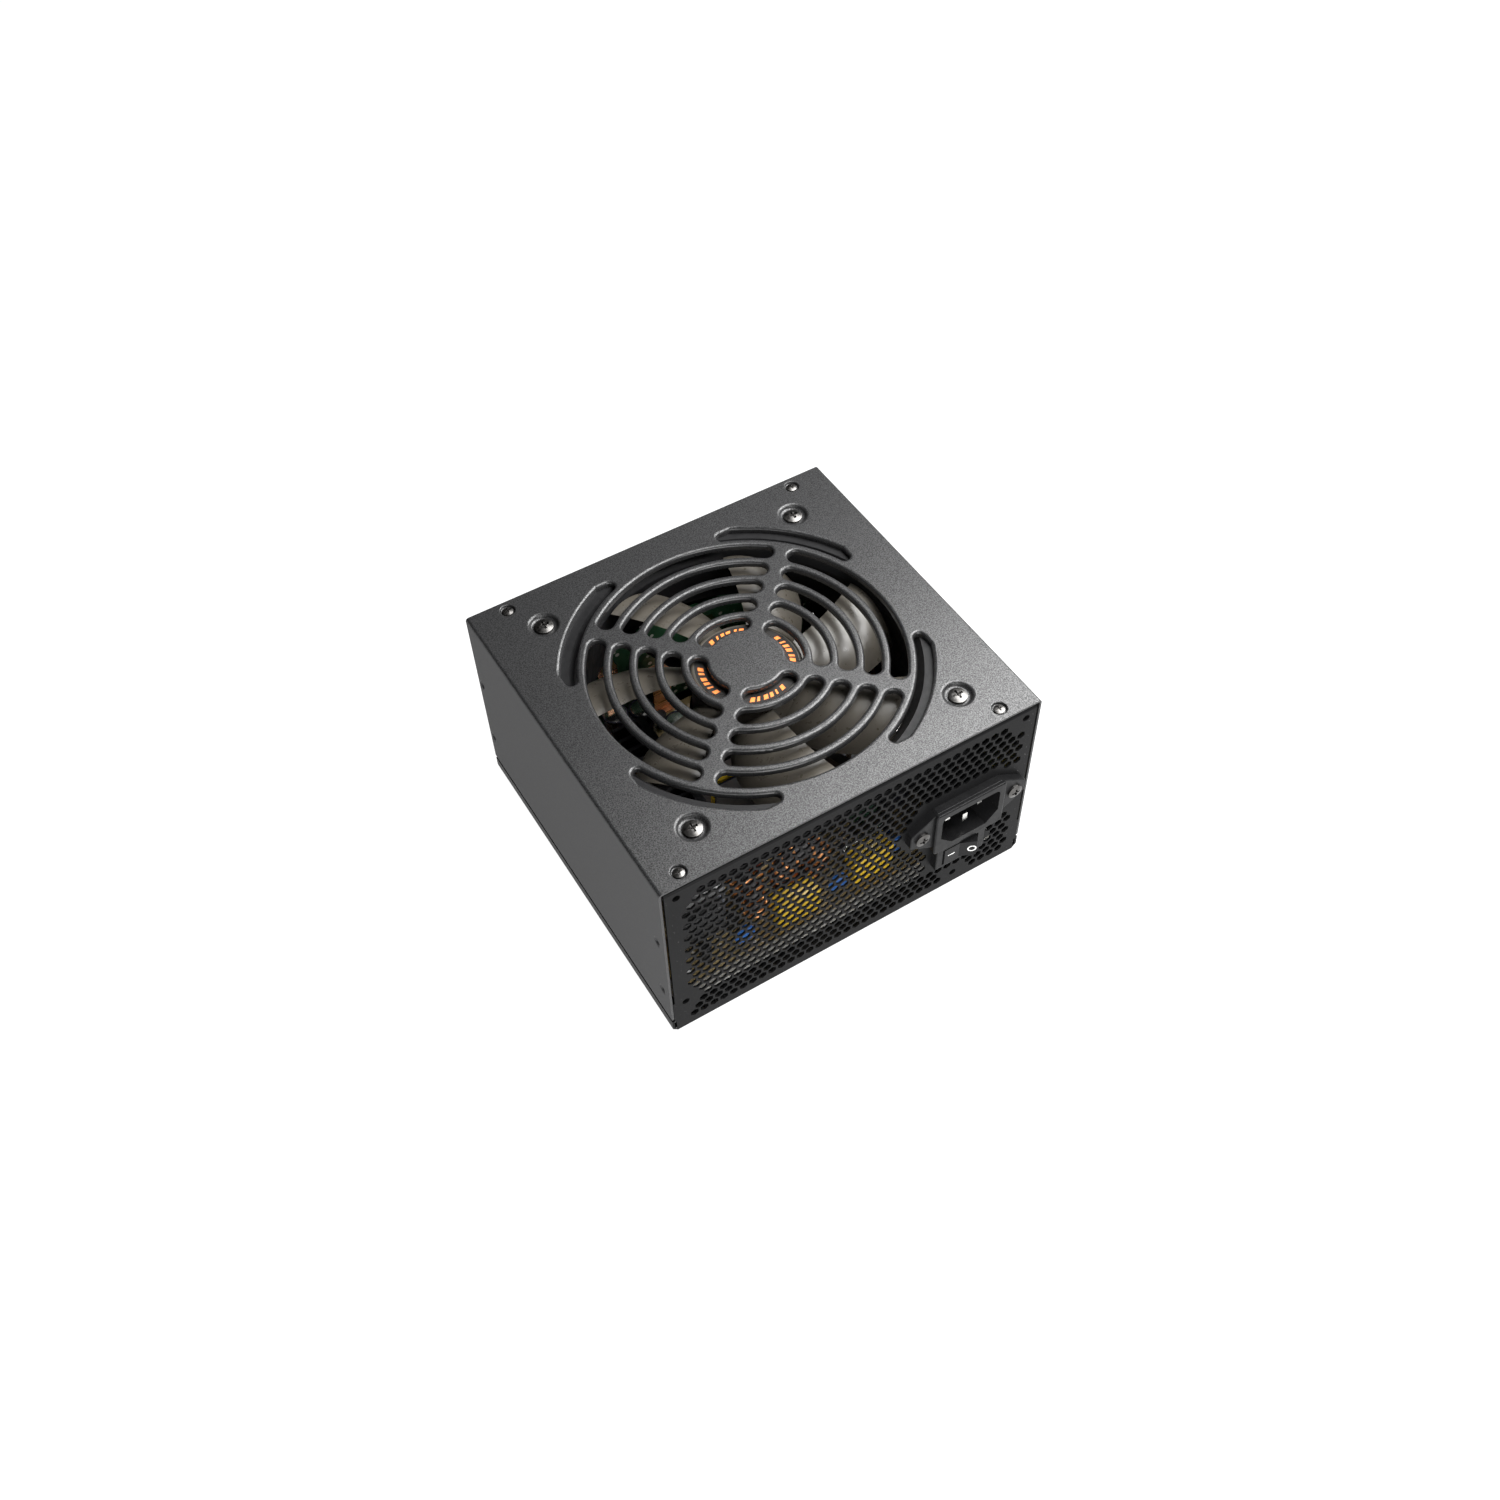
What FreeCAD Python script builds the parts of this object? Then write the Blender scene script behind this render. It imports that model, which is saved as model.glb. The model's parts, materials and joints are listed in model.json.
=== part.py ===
import FreeCAD, Part
import math
import os
import re
import Sketcher

# A desktop power supply unit, 150 x 140 x 86 mm.
# Frame: millimetres, origin at the centre of the case's bottom face, +Z up through the fan.
# -Y is the outside (rear) panel with the mains inlet near its +X end; +Y holds the output sockets.

Vector = FreeCAD.Vector
doc = FreeCAD.newDocument("power_supply")

# ---------------------------------------------------------------- driving dimensions
CASE = [
    ("case_width", 150), ("case_depth", 140), ("case_height", 86), ("sheet", 0.8),
    ("fold_radius", 1.3), ("cover_gap", 8.0), ("strip_top", 6.5), ("bevel", 2.0),
    ("joggle", 1.0), ("joggle_top", 18), ("panel_half", 73.3), ("flange_top", 84.2),
    ("flange_width", 9.5), ("flange_half", 70), ("lance_small", 0.9), ("lance_large", 2.2),
    ("lance_front", 67.1), ("lance_rear", -64.8), ("lance_high", 52.6), ("lance_low", 22.2),
]
GRILLE = [
    ("ring_first", 17.0), ("ring_pitch", 9.05), ("slot_width", 6.0), ("spoke_clear", 5.8),
    ("slot_round", 1.2), ("drawn_depth", 2.4), ("arc_inner", 59.4), ("arc_outer", 65.0),
    ("arc_side", 58.6), ("arc_cap", 2.0), ("slot_cut", 6.0),
    ("bowl_radius", 6.15), ("bowl_floor", 3.9), ("bowl_depth", 1.6), ("bowl_hole", 2.6),
    ("cup_radius", 3.1), ("cup_floor", 2.2), ("cup_depth", 1.0), ("cup_hole", 1.6),
    ("cover_screw_ax", -60.3), ("cover_screw_ay", 65.7), ("cover_screw_bx", 60.3),
    ("cover_screw_cx", -65.0), ("cover_screw_cy", -65.2), ("cover_screw_dx", 60.5),
]
HONEYCOMB = [
    ("cell_pitch", 4.0), ("cell_row", 3.464), ("cell_flats", 3.15), ("cell_left", -66.0),
    ("cell_right", 68.2), ("cell_low", 5.2), ("cell_high", 78.4), ("cell_clear", 6.0),
    ("tap_radius", 1.45), ("tap_collar", 2.7), ("tap_length", 2.6),
    ("tap_upper", 80), ("tap_side", 69), ("tap_lower", 16), ("tap_bottom_x", 45), ("tap_bottom_z", 6),
    ("front_vent_left", 42), ("front_vent_right", 64), ("front_vent_low", 12), ("front_vent_high", 54),
]
INLET = [
    ("inlet_x", 46.2), ("ear_proud", 3.0), ("block_proud", 4.3), ("ear_top", 54.6),
    ("ear_top_half", 13.7), ("ear_half", 24.8), ("ear_high", 47.8), ("ear_low", 41.6),
    ("ear_foot", 35.0), ("block_half", 15.0), ("block_low", 32.2), ("block_high", 54.4),
    ("inlet_back", 13.7), ("wall_clear", 0.3), ("cavity_half", 12.4), ("cavity_low", 35.3),
    ("cavity_high", 51.5), ("cavity_bevel", 5.0), ("cavity_round", 2.0), ("cavity_floor", 11.7),
    ("pin_gap", 14), ("pin_row", 45.3), ("earth_row", 41.3), ("pin_wide", 2.0), ("pin_tall", 4.0),
    ("pin_tip", 0.3), ("earth_lead", 1.0), ("tab_end", 20.5), ("ear_screw_gap", 40),
    ("ear_screw_z", 44.6), ("ear_screw_hole", 1.7), ("ear_round", 1.4), ("block_round", 1.2),
    ("edge_soft", 0.4),
]
SWITCH = [
    ("switch_x", 44.5), ("switch_z", 24.85), ("switch_left", 34.0), ("switch_right", 55.2),
    ("switch_low", 19.0), ("window_half", 7.8), ("window_tall", 8.7), ("window_floor", 10),
    ("rocker_radius", 7.5), ("rocker_tall", 8.1), ("rocker_swing", 24), ("pivot_sunk", 2.5),
    ("facet_rise", 0.2), ("rocker_under", 2.0), ("stub_radius", 1.0), ("stub_half", 4.9),
    ("plunger_radius", 1.1), ("plunger_reach", 5.8), ("bridge_back", 7.1), ("bridge_half", 5.6),
    ("bridge_thick", 0.8), ("bridge_tall", 5.0), ("bridge_ratio", 0.4), ("fulcrum_radius", 0.6),
    ("fulcrum_long", 6.0), ("terminal_thick", 0.8),
    ("terminal_tall", 4.8), ("running", 0.06),
]
FAN = [
    ("fan_side", 120), ("fan_thick", 25), ("fan_hole_gap", 105), ("fan_hole", 2.15),
    ("duct_radius", 58), ("mouth_radius", 62), ("mouth_deep", 6), ("fan_wall", 0.8),
    ("barrel_radius", 59.8), ("fan_flange", 4.0), ("fan_corner", 6),
    ("strut_wide", 4.0), ("strut_tall", 3.0), ("motor_radius", 21), ("motor_base", 2.0),
    ("tube_radius", 5.2), ("tube_bore", 4.0), ("tube_top", 16.5), ("hub_radius", 20),
    ("hub_wall", 1.6), ("hub_low", 5.4), ("hub_top", 23.9), ("hub_round", 1.4), ("blade_count", 7),
    ("tip_radius", 56.6), ("blade_root_in", 18.9), ("yoke_radius", 18.35), ("yoke_wall", 0.9),
    ("magnet_wall", 1.5), ("magnet_low", 8.0), ("magnet_tall", 11), ("shaft_radius", 1.5),
    ("shaft_low", 2.8), ("bearing_low", 4.4), ("core_low", 8.6), ("core_tall", 7.5),
    ("core_radius", 15.2), ("driver_low", 4.2), ("driver_thick", 1.0), ("driver_radius", 17),
    ("label_radius", 18.4), ("label_thick", 0.15),
]
BOARD = [
    ("board_half", 67), ("board_rear", -61), ("board_front", 54.5), ("board_under", 7.4),
    ("board_thick", 1.6), ("standoff_x", 62), ("standoff_rear", -56), ("standoff_front", 49),
    ("standoff_radius", 3.0), ("film_half", 69), ("film_thick", 0.4), ("film_height", 3.0),
]
SOCKETS = [
    ("socket_pitch", 4.2), ("cell_open", 3.5), ("socket_tall", 9.8), ("socket_rim", 1.4),
    ("socket_front", 69.8), ("socket_depth", 10.8), ("cell_depth", 9.2), ("contact_side", 1.0),
    ("socket_board_thick", 1.6), ("socket_board_half", 62), ("socket_board_low", 10.2),
    ("socket_board_high", 55), ("cutout_clear", 0.3), ("latch_wide", 4.0), ("latch_tall", 1.2),
]

sheet = doc.addObject("Spreadsheet::Sheet", "dims")
row = 1
ALIASES = set()
for group in (CASE, GRILLE, HONEYCOMB, INLET, SWITCH, FAN, BOARD, SOCKETS):
    for alias, value in group:
        sheet.set(f"A{row}", alias)
        sheet.set(f"B{row}", str(value))
        sheet.setAlias(f"B{row}", alias)
        ALIASES.add(alias)
        row += 1
doc.recompute()

WORD = re.compile(r"[a-z][a-z_]*")
TURN = {"x": FreeCAD.Rotation(Vector(0, 1, 0), 90), "y": FreeCAD.Rotation(Vector(1, 0, 0), -90),
        "z": FreeCAD.Rotation()}
nodes = []


# ---------------------------------------------------------------- small modelling helpers
def bound(text):
    """A property's expression: each cell's name gets the sheet's name in front."""
    return WORD.sub(lambda m: "dims." + m[0] if m[0] in ALIASES else m[0], str(text))


def size(text):
    """The present value of an expression."""
    return float(sheet.evalExpression(str(text)))


def bind(obj, **sizes):
    for name, text in sizes.items():
        obj.setExpression(name, bound(text))
    return obj


def place(obj, at, axis="z"):
    obj.Placement = FreeCAD.Placement(Vector(), TURN[axis])
    for letter, text in zip("xyz", at):
        obj.setExpression(f".Placement.Base.{letter}", bound(text))
    return obj


def box(name, sizes, centre):
    """A box centred in X and Y on a point, standing on it in Z."""
    obj = bind(doc.addObject("Part::Box", name), Length=sizes[0], Width=sizes[1], Height=sizes[2])
    x, y, z = centre
    return place(obj, (f"({x}) - ({sizes[0]}) / 2", f"({y}) - ({sizes[1]}) / 2", z))


def cylinder(name, radius, length, base, axis="z"):
    obj = bind(doc.addObject("Part::Cylinder", name), Radius=radius, Height=length)
    return place(obj, base, axis)


def cone(name, low, high, length, base, axis="z"):
    obj = bind(doc.addObject("Part::Cone", name), Radius1=low, Radius2=high, Height=length)
    return place(obj, base, axis)


def torus(name, ring, thick, centre, axis="z"):
    obj = bind(doc.addObject("Part::Torus", name), Radius1=ring, Radius2=thick)
    return place(obj, centre, axis)


def fuse(name, *parts):
    obj = doc.addObject("Part::MultiFuse", name)
    obj.Shapes = list(parts)
    return obj


def cut(name, base, *tools):
    obj = doc.addObject("Part::Cut", name)
    obj.Base = base
    obj.Tool = tools[0] if len(tools) == 1 else fuse(name + "_tools", *tools)
    return obj


def common(name, first, second):
    obj = doc.addObject("Part::Common", name)
    obj.Base, obj.Tool = first, second
    return obj


def group(name, parts):
    """Separate solids that share one node."""
    obj = doc.addObject("Part::Compound", name)
    obj.Links = list(parts)
    return obj


def node(label, obj):
    """Names a finished sub-part and lists it for export."""
    obj.Label = label
    nodes.append(obj)
    return obj


def tube(name, outer, inner, length, base, axis="z"):
    return cut(name, cylinder(name + "_outer", outer, length, base, axis),
               cylinder(name + "_bore", inner, length, base, axis))


def new_body(name):
    return doc.addObject("PartDesign::Body", name)


def new_sketch(body, name, plane, offset=0, shift=(0, 0)):
    """A sketch on one of the body's own planes, moved along the plane's normal by offset."""
    obj = body.newObject("Sketcher::SketchObject", name)
    support = [f for f in body.Origin.OriginFeatures if f.Role == plane + "_Plane"][0]
    obj.AttachmentSupport = [(support, "")]
    obj.MapMode = "FlatFace"
    for letter, text in zip("xyz", (*shift, offset)):
        obj.setExpression(f".AttachmentOffset.Base.{letter}", bound(text))
    return obj


def arc_edge(start, end, radius):
    """The short arc from start to end, turning left for a positive radius."""
    chord = end - start
    middle = (start + end) / 2
    rise = math.sqrt(max(radius * radius - chord.Length ** 2 / 4, 0))
    left = Vector(-chord.y, chord.x, 0).normalize()
    side = 1 if radius > 0 else -1
    centre = middle + left * rise * side
    crown = centre + (middle - centre).normalize() * abs(radius) if rise > 1e-9 else (
        middle - left * abs(radius) * side)
    return Part.Arc(start, crown, end)


def outline(sketch, corners):
    """Closed outline: corners are (x, y) or (x, y, radius of the arc to the next corner).

    Every corner and every radius is bound to the sheet."""
    places = [Vector(size(c[0]), size(c[1]), 0) for c in corners]
    first = sketch.GeometryCount
    starts = []
    for i, corner in enumerate(corners):
        here, there = places[i], places[(i + 1) % len(corners)]
        if len(corner) == 2:
            sketch.addGeometry(Part.LineSegment(here, there), False)
            starts.append((1, 2))
            continue
        radius = size(corner[2])
        sketch.addGeometry(arc_edge(here, there, radius), False)
        starts.append((1, 2) if radius > 0 else (2, 1))
    for i, corner in enumerate(corners):
        j = (i + 1) % len(corners)
        sketch.addConstraint(
            Sketcher.Constraint("Coincident", first + i, starts[i][1], first + j, starts[j][0]))
        for kind, text, value in (("DistanceX", corner[0], places[i].x),
                                  ("DistanceY", corner[1], places[i].y)):
            if abs(value) < 1e-9:
                flat = "Vertical" if kind == "DistanceX" else "Horizontal"
                sketch.addConstraint(Sketcher.Constraint(flat, -1, 1, first + i, starts[i][0]))
                continue
            key = sketch.addConstraint(
                Sketcher.Constraint(kind, -1, 1, first + i, starts[i][0], value))
            sketch.setExpression(f"Constraints[{key}]", bound(text))
        if len(corner) == 3:
            key = sketch.addConstraint(Sketcher.Constraint("Radius", first + i, abs(size(corner[2]))))
            sketch.setExpression(f"Constraints[{key}]", bound(f"abs({corner[2]})"))
    return sketch


def circle(sketch, x, y, radius):
    key = sketch.addGeometry(Part.Circle(Vector(size(x), size(y), 0), Vector(0, 0, 1), size(radius)), False)
    number = sketch.addConstraint(Sketcher.Constraint("Radius", key, size(radius)))
    sketch.setExpression(f"Constraints[{number}]", bound(radius))
    for kind, text in (("DistanceX", x), ("DistanceY", y)):
        if abs(size(text)) > 1e-9:
            number = sketch.addConstraint(Sketcher.Constraint(kind, -1, 1, key, 3, size(text)))
            sketch.setExpression(f"Constraints[{number}]", bound(text))
    return sketch


def rectangle(low_x, low_y, high_x, high_y):
    return [(low_x, low_y), (high_x, low_y), (high_x, high_y), (low_x, high_y)]


def pad(body, sketch, length, both=False, back=False):
    obj = body.newObject("PartDesign::Pad", sketch.Name + "_pad")
    obj.Profile = sketch
    obj.Refine = False
    obj.Midplane = both
    obj.Reversed = back
    return bind(obj, Length=length)


def pocket(body, sketch, length, both=False, back=False):
    obj = body.newObject("PartDesign::Pocket", sketch.Name + "_pocket")
    obj.Profile = sketch
    obj.Refine = False
    obj.Midplane = both
    obj.Reversed = back
    return bind(obj, Length=length)


def turn(body, sketch, kind, axis="V_Axis"):
    obj = body.newObject("PartDesign::" + kind, sketch.Name + "_turned")
    obj.Profile = sketch
    obj.Refine = False
    obj.ReferenceAxis = (sketch, [axis])
    obj.Angle = 360
    return obj


def polar(body, features, count, axis_sketch):
    obj = body.newObject("PartDesign::PolarPattern", features[0].Name + "_around")
    obj.Refine = False
    obj.Originals = features
    obj.Axis = (axis_sketch, ["N_Axis"])
    obj.Angle = 360
    obj.Occurrences = count
    body.Tip = obj
    return obj


def edges_where(feature, test):
    return [f"Edge{i}" for i, edge in enumerate(feature.Shape.Edges, 1) if test(edge)]


def fillet(body, feature, radius, test):
    names = edges_where(feature, test)
    obj = body.newObject("PartDesign::Fillet", feature.Name + "_round")
    obj.Base = (feature, names)
    return bind(obj, Radius=radius)


def bent_tube(name, points, radius):
    """A round wire along straight runs joined by tangent arcs as large as the runs allow."""
    places = [Vector(*[size(value) for value in point]) for point in points]
    edges = []
    last = places[0]
    for before, corner, after in zip(places, places[1:], places[2:]):
        back, ahead = before - corner, after - corner
        half = (math.pi - back.getAngle(ahead)) / 2
        reach = 0.45 * min(back.Length, ahead.Length)
        start = corner + back.normalize() * reach
        end = corner + ahead.normalize() * reach
        inward = (back + ahead).normalize()
        arc_radius = reach / math.tan(half)
        centre = corner + inward * math.hypot(reach, arc_radius)
        edges.append(Part.LineSegment(last, start).toShape())
        edges.append(Part.Arc(start, centre - inward * arc_radius, end).toShape())
        last = end
    edges.append(Part.LineSegment(last, places[-1]).toShape())
    path = Part.Wire(edges)
    ring = Part.Wire(Part.makeCircle(radius, places[0], places[1] - places[0]))
    obj = doc.addObject("Part::Feature", name)
    obj.Shape = path.makePipeShell([ring], True, False)
    return obj


# ---------------------------------------------------------------- screws
def screw(name, x, y, z, head, head_tall, shank, length, axis="z", down=True):
    """A pan-head cross-recess screw; (x, y, z) is the centre of the head's seat."""
    way = -1 if down else 1
    step = {"y": (0, 1, 0), "z": (0, 0, 1)}[axis]

    def along(distance):
        return [f"({base}) + ({k}) * ({distance})" for base, k in zip((x, y, z), step)]

    dome = 2.3
    cap_low = f"{head_tall} * 0.55"
    if down:
        shaft = cylinder(name + "_shank", shank, length, along(f"-({length})"), axis)
        rim = cylinder(name + "_rim", head, cap_low, along(0), axis)
        ball_at = along(f"{cap_low} - sqrt(({dome} * {head})^2 - ({head})^2)")
    else:
        shaft = cylinder(name + "_shank", shank, length, along(0), axis)
        rim = cylinder(name + "_rim", head, cap_low, along(f"-({cap_low})"), axis)
        ball_at = along(f"-({cap_low}) + sqrt(({dome} * {head})^2 - ({head})^2)")
    ball = bind(doc.addObject("Part::Sphere", name + "_ball"), Radius=f"{dome} * {head}")
    place(ball, ball_at)
    bound_rim = cylinder(name + "_column", head, f"{head_tall} + 2",
                         along(0 if down else f"-({head_tall} + 2)"), axis)
    cap = doc.addObject("Part::Common", name + "_cap")
    cap.Base = ball
    cap.Tool = bound_rim
    whole = fuse(name + "_whole", shaft, rim, cap)
    slots = []
    long_side, short_side = f"{head} * 1.15", f"{head} * 0.26"
    deep = f"{head_tall} * 0.95"
    for k, (a, b) in enumerate(((long_side, short_side), (short_side, long_side))):
        if axis == "z":
            slots.append(box(f"{name}_slot{k}", (a, b, 3), along(f"{head_tall} * 0.35")))
        else:
            centre = along(f"{way} * -0.5 * 3 - {head_tall} * 0.35")
            slots.append(box(f"{name}_slot{k}", (a, 3, b), (centre[0], centre[1], f"({z}) - ({b}) / 2")))
    point = along(f"{head_tall} * 0.1") if axis == "z" else along(f"-({head_tall} * 1.4)")
    tip = cone(name + "_tip", f"{head} * (0.12)" if axis == "z" else f"{head} * 0.42",
               f"{head} * 0.42" if axis == "z" else f"{head} * 0.12", f"{deep} * 1.3", point, axis)
    return cut(name, whole, *slots, tip)


# ---------------------------------------------------------------- case: cover
def slot_corners(ring, width):
    """A curved slot about the centre, in the quadrant on +X, with round ends."""
    half = f"({width}) / 2"
    swing = f"(45deg - asin(spoke_clear / ({ring})))"
    outer, inner = f"(({ring}) + {half})", f"(({ring}) - {half})"

    def at(radius, sign):
        return f"{radius} * cos({swing})", f"{sign} * {radius} * sin({swing})"

    def end(sign):
        return (f"({ring}) * cos({swing}) - {half} * sin({swing})",
                f"{sign} * (({ring}) * sin({swing}) + {half} * cos({swing}))")

    return [(*at(outer, -1), outer), (*at(outer, 1), half), (*end(1), half),
            (*at(inner, 1), f"-{inner}"), (*at(inner, -1), half), (*end(-1), half)]


def corner_arc_corners(grow):
    """The arc outside the rings, about the diagonal, with its outer corners clipped square."""
    inner, outer = f"(arc_inner - {grow})", f"(arc_outer + {grow})"
    side, cap = f"(arc_side + {grow})", f"(arc_cap + {grow})"
    centre_x = f"({side} - {cap})"
    centre_y = f"sqrt(({inner} + {cap})^2 - {centre_x}^2)"
    scale = f"{inner} / ({inner} + {cap})"
    clip = f"sqrt({outer}^2 - {side}^2)"
    return [(f"{centre_x} * {scale}", f"{centre_y} * {scale}", cap),
            (side, centre_y), (side, clip, outer), (clip, side), (centre_y, side, cap),
            (f"{centre_y} * {scale}", f"{centre_x} * {scale}", f"-{inner}")]


def bowl_corners(radius, floor, depth, lower, top):
    """Half section of a drawn bowl: flat floor and an S-shaped side, closed at the top."""
    low = f"(case_height - {depth} - {lower})"
    high = f"(case_height - {lower})"
    bend = f"((({radius}) - ({floor}))^2 + ({depth})^2) / (4 * {depth})"
    return [(0, low), (floor, low, bend),
            (f"(({radius}) + ({floor})) / 2", f"({low} + {high}) / 2", f"-({bend})"),
            (radius, high), (radius, top), (0, top)]


def bowl(body, name, x, y, radius, floor, depth, hole):
    under = new_sketch(body, name + "_under", "XZ", f"-({y})", (x, 0))
    outline(under, bowl_corners(f"({radius} + 0.3)", f"({floor} + 0.3)", depth, "sheet",
                                "case_height - sheet / 2"))
    turn(body, under, "Revolution")
    hollow = new_sketch(body, name + "_hollow", "XZ", f"-({y})", (x, 0))
    outline(hollow, bowl_corners(radius, floor, depth, "0", "case_height + 1"))
    turn(body, hollow, "Groove")
    drill = new_sketch(body, name + "_drill", "XY", "case_height")
    circle(drill, x, y, hole)
    pocket(body, drill, "slot_cut")


COVER_SCREWS = [("cover_screw_ax", "cover_screw_ay"), ("cover_screw_bx", "cover_screw_ay"),
                ("cover_screw_cx", "cover_screw_cy"), ("cover_screw_dx", "cover_screw_cy")]
FAN_SCREWS = [(f"{i} * fan_hole_gap / 2", f"{j} * fan_hole_gap / 2") for i in (-1, 1) for j in (-1, 1)]


def top_cover():
    body = new_body("cover_body")
    wide, high = "case_width / 2", "case_height"
    inside = f"({wide} - sheet)"
    bend, inner = f"({wide} - fold_radius)", "(fold_radius - sheet)"
    shell = outline(new_sketch(body, "cover_section", "XZ"), [
        (wide, "cover_gap"), (wide, f"{high} - fold_radius", "fold_radius"), (bend, high),
        (f"-{bend}", high, "fold_radius"), (f"-({wide})", f"{high} - fold_radius"),
        (f"-({wide})", "cover_gap"), (f"-{inside}", "cover_gap"),
        (f"-{inside}", f"{high} - fold_radius", f"-{inner}"), (f"-{bend}", f"{high} - sheet"),
        (bend, f"{high} - sheet", f"-{inner}"), (inside, f"{high} - fold_radius"), (inside, "cover_gap")])
    pad(body, shell, "case_depth", both=True)
    for k, (x, y) in enumerate(FAN_SCREWS):
        bowl(body, f"fan_bowl{k}", x, y, "bowl_radius", "bowl_floor", "bowl_depth", "bowl_hole")
    for k, (x, y) in enumerate(COVER_SCREWS):
        bowl(body, f"cup{k}", x, y, "cup_radius", "cup_floor", "cup_depth", "cup_hole")
    for k, (y, z) in enumerate([(y, z) for y in ("lance_front", "lance_rear") for z in ("lance_high",
                                                                                        "lance_low")]):
        for sign, side in ((1, "right"), (-1, "left")):
            sketch = new_sketch(body, f"lance_{side}{k}", "XZ", f"-({y})", (0, z))
            near, far = f"{sign} * (case_width / 2 - sheet - 0.4)", f"{sign} * (case_width / 2 + 0.01)"
            outline(sketch, [(near, 0), (near, "lance_small"), (far, "lance_large"), (far, 0)])
            turn(body, sketch, "Groove", "H_Axis")
    lips, slots = [], []
    for k in range(6):
        if k < 5:
            ring = f"(ring_first + {k} * ring_pitch)"
            outer, opening = slot_corners(ring, "(slot_width + 2 * sheet)"), slot_corners(ring,
                                                                                          "slot_width")
        else:
            outer, opening = corner_arc_corners("sheet"), corner_arc_corners("0")
        lip = outline(new_sketch(body, f"lip{k}", "XY", "case_height - drawn_depth"), outer)
        lips.append(pad(body, lip, "drawn_depth - sheet / 2"))
        slot = outline(new_sketch(body, f"slot{k}", "XY", "case_height"), opening)
        slots.append(pocket(body, slot, "slot_cut"))
    axis = new_sketch(body, "grille_axis", "XY")
    grille = polar(body, lips + slots, 4, axis)
    doc.recompute()
    top = size("case_height")
    reach = size("arc_outer") + 1

    def on_slot(edge):
        ends = edge.BoundBox
        far = max(math.hypot(v.X, v.Y) for v in edge.Vertexes)
        return ends.ZMin > top - 1e-4 and far < reach

    fillet(body, grille, "slot_round", on_slot)
    return node("top_cover", body)


# ---------------------------------------------------------------- case: chassis
TAPS = [("-tap_side", "tap_upper"), ("tap_side", "tap_upper"), ("-tap_side", "tap_lower"),
        ("tap_bottom_x", "tap_bottom_z")]
KEEP_CLEAR = [(26.5, 59.4), (62.6, 59.4), (71.6, 47.2), (71.6, 31.2), (58.8, 23.8), (58.8, 13.7),
              (31.3, 13.7), (31.3, 27.3), (19.2, 41.7), (19.2, 45.7)]


def inside_polygon(x, z, polygon):
    inside = False
    for (ax, az), (bx, bz) in zip(polygon, polygon[1:] + polygon[:1]):
        if (az > z) != (bz > z) and x < (bx - ax) * (z - az) / (bz - az) + ax:
            inside = not inside
    return inside


def honeycomb(side, clear_areas, left, right, low, high, taps):
    """Hexagonal prisms through one end panel, left out around the fittings."""
    pitch, rise, flats = size("cell_pitch"), size("cell_row"), size("cell_flats")
    reach = size("cell_clear")
    holes = [(size(x), size(z)) for x, z in taps]
    cells = []
    z, odd = high, False
    while z > low:
        x = left if odd else left + pitch / 2
        while x < right:
            near_hole = any(math.hypot(x - hx, z - hz) < reach for hx, hz in holes)
            if not near_hole and not any(inside_polygon(x, z, area) for area in clear_areas):
                ring = [Vector(x + flats / math.sqrt(3) * math.sin(math.radians(60 * k)), 0,
                               z + flats / math.sqrt(3) * math.cos(math.radians(60 * k))) for k in range(7)]
                face = Part.Face(Part.makePolygon(ring))
                face.translate(Vector(0, side * (size("case_depth") / 2) - 2, 0))
                cells.append(face.extrude(Vector(0, 4, 0)))
            x += pitch
        z -= rise
        odd = not odd
    return cells


def panel_corners(side):
    """Section of an end panel with its top flange, in the YZ plane."""
    face, inner = f"{side} * case_depth / 2", f"{side} * (case_depth / 2 - sheet)"
    bend, edge = f"{side} * (case_depth / 2 - fold_radius)", f"{side} * (case_depth / 2 - flange_width)"
    small = "(fold_radius - sheet)"
    return [(face, 0), (face, "flange_top - fold_radius", f"{side} * fold_radius"), (bend, "flange_top"),
            (edge, "flange_top"), (edge, "flange_top - sheet"),
            (bend, "flange_top - sheet", f"{-side} * {small}"), (inner, "flange_top - fold_radius"),
            (inner, 0)]


# Sockets on the front panel: name, columns, centre X, centre Z
SOCKET_ROWS = [("board_a", 9, -34, 45.5), ("board_b", 5, 4, 45.5),
               ("power_a", 4, -47, 31.5), ("power_b", 4, -23, 31.5), ("power_c", 4, 1, 31.5),
               ("power_d", 4, 25, 31.5),
               ("drive_a", 3, -47, 17.5), ("drive_b", 3, -23, 17.5), ("drive_c", 3, 1, 17.5),
               ("drive_d", 3, 25, 17.5)]


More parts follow.
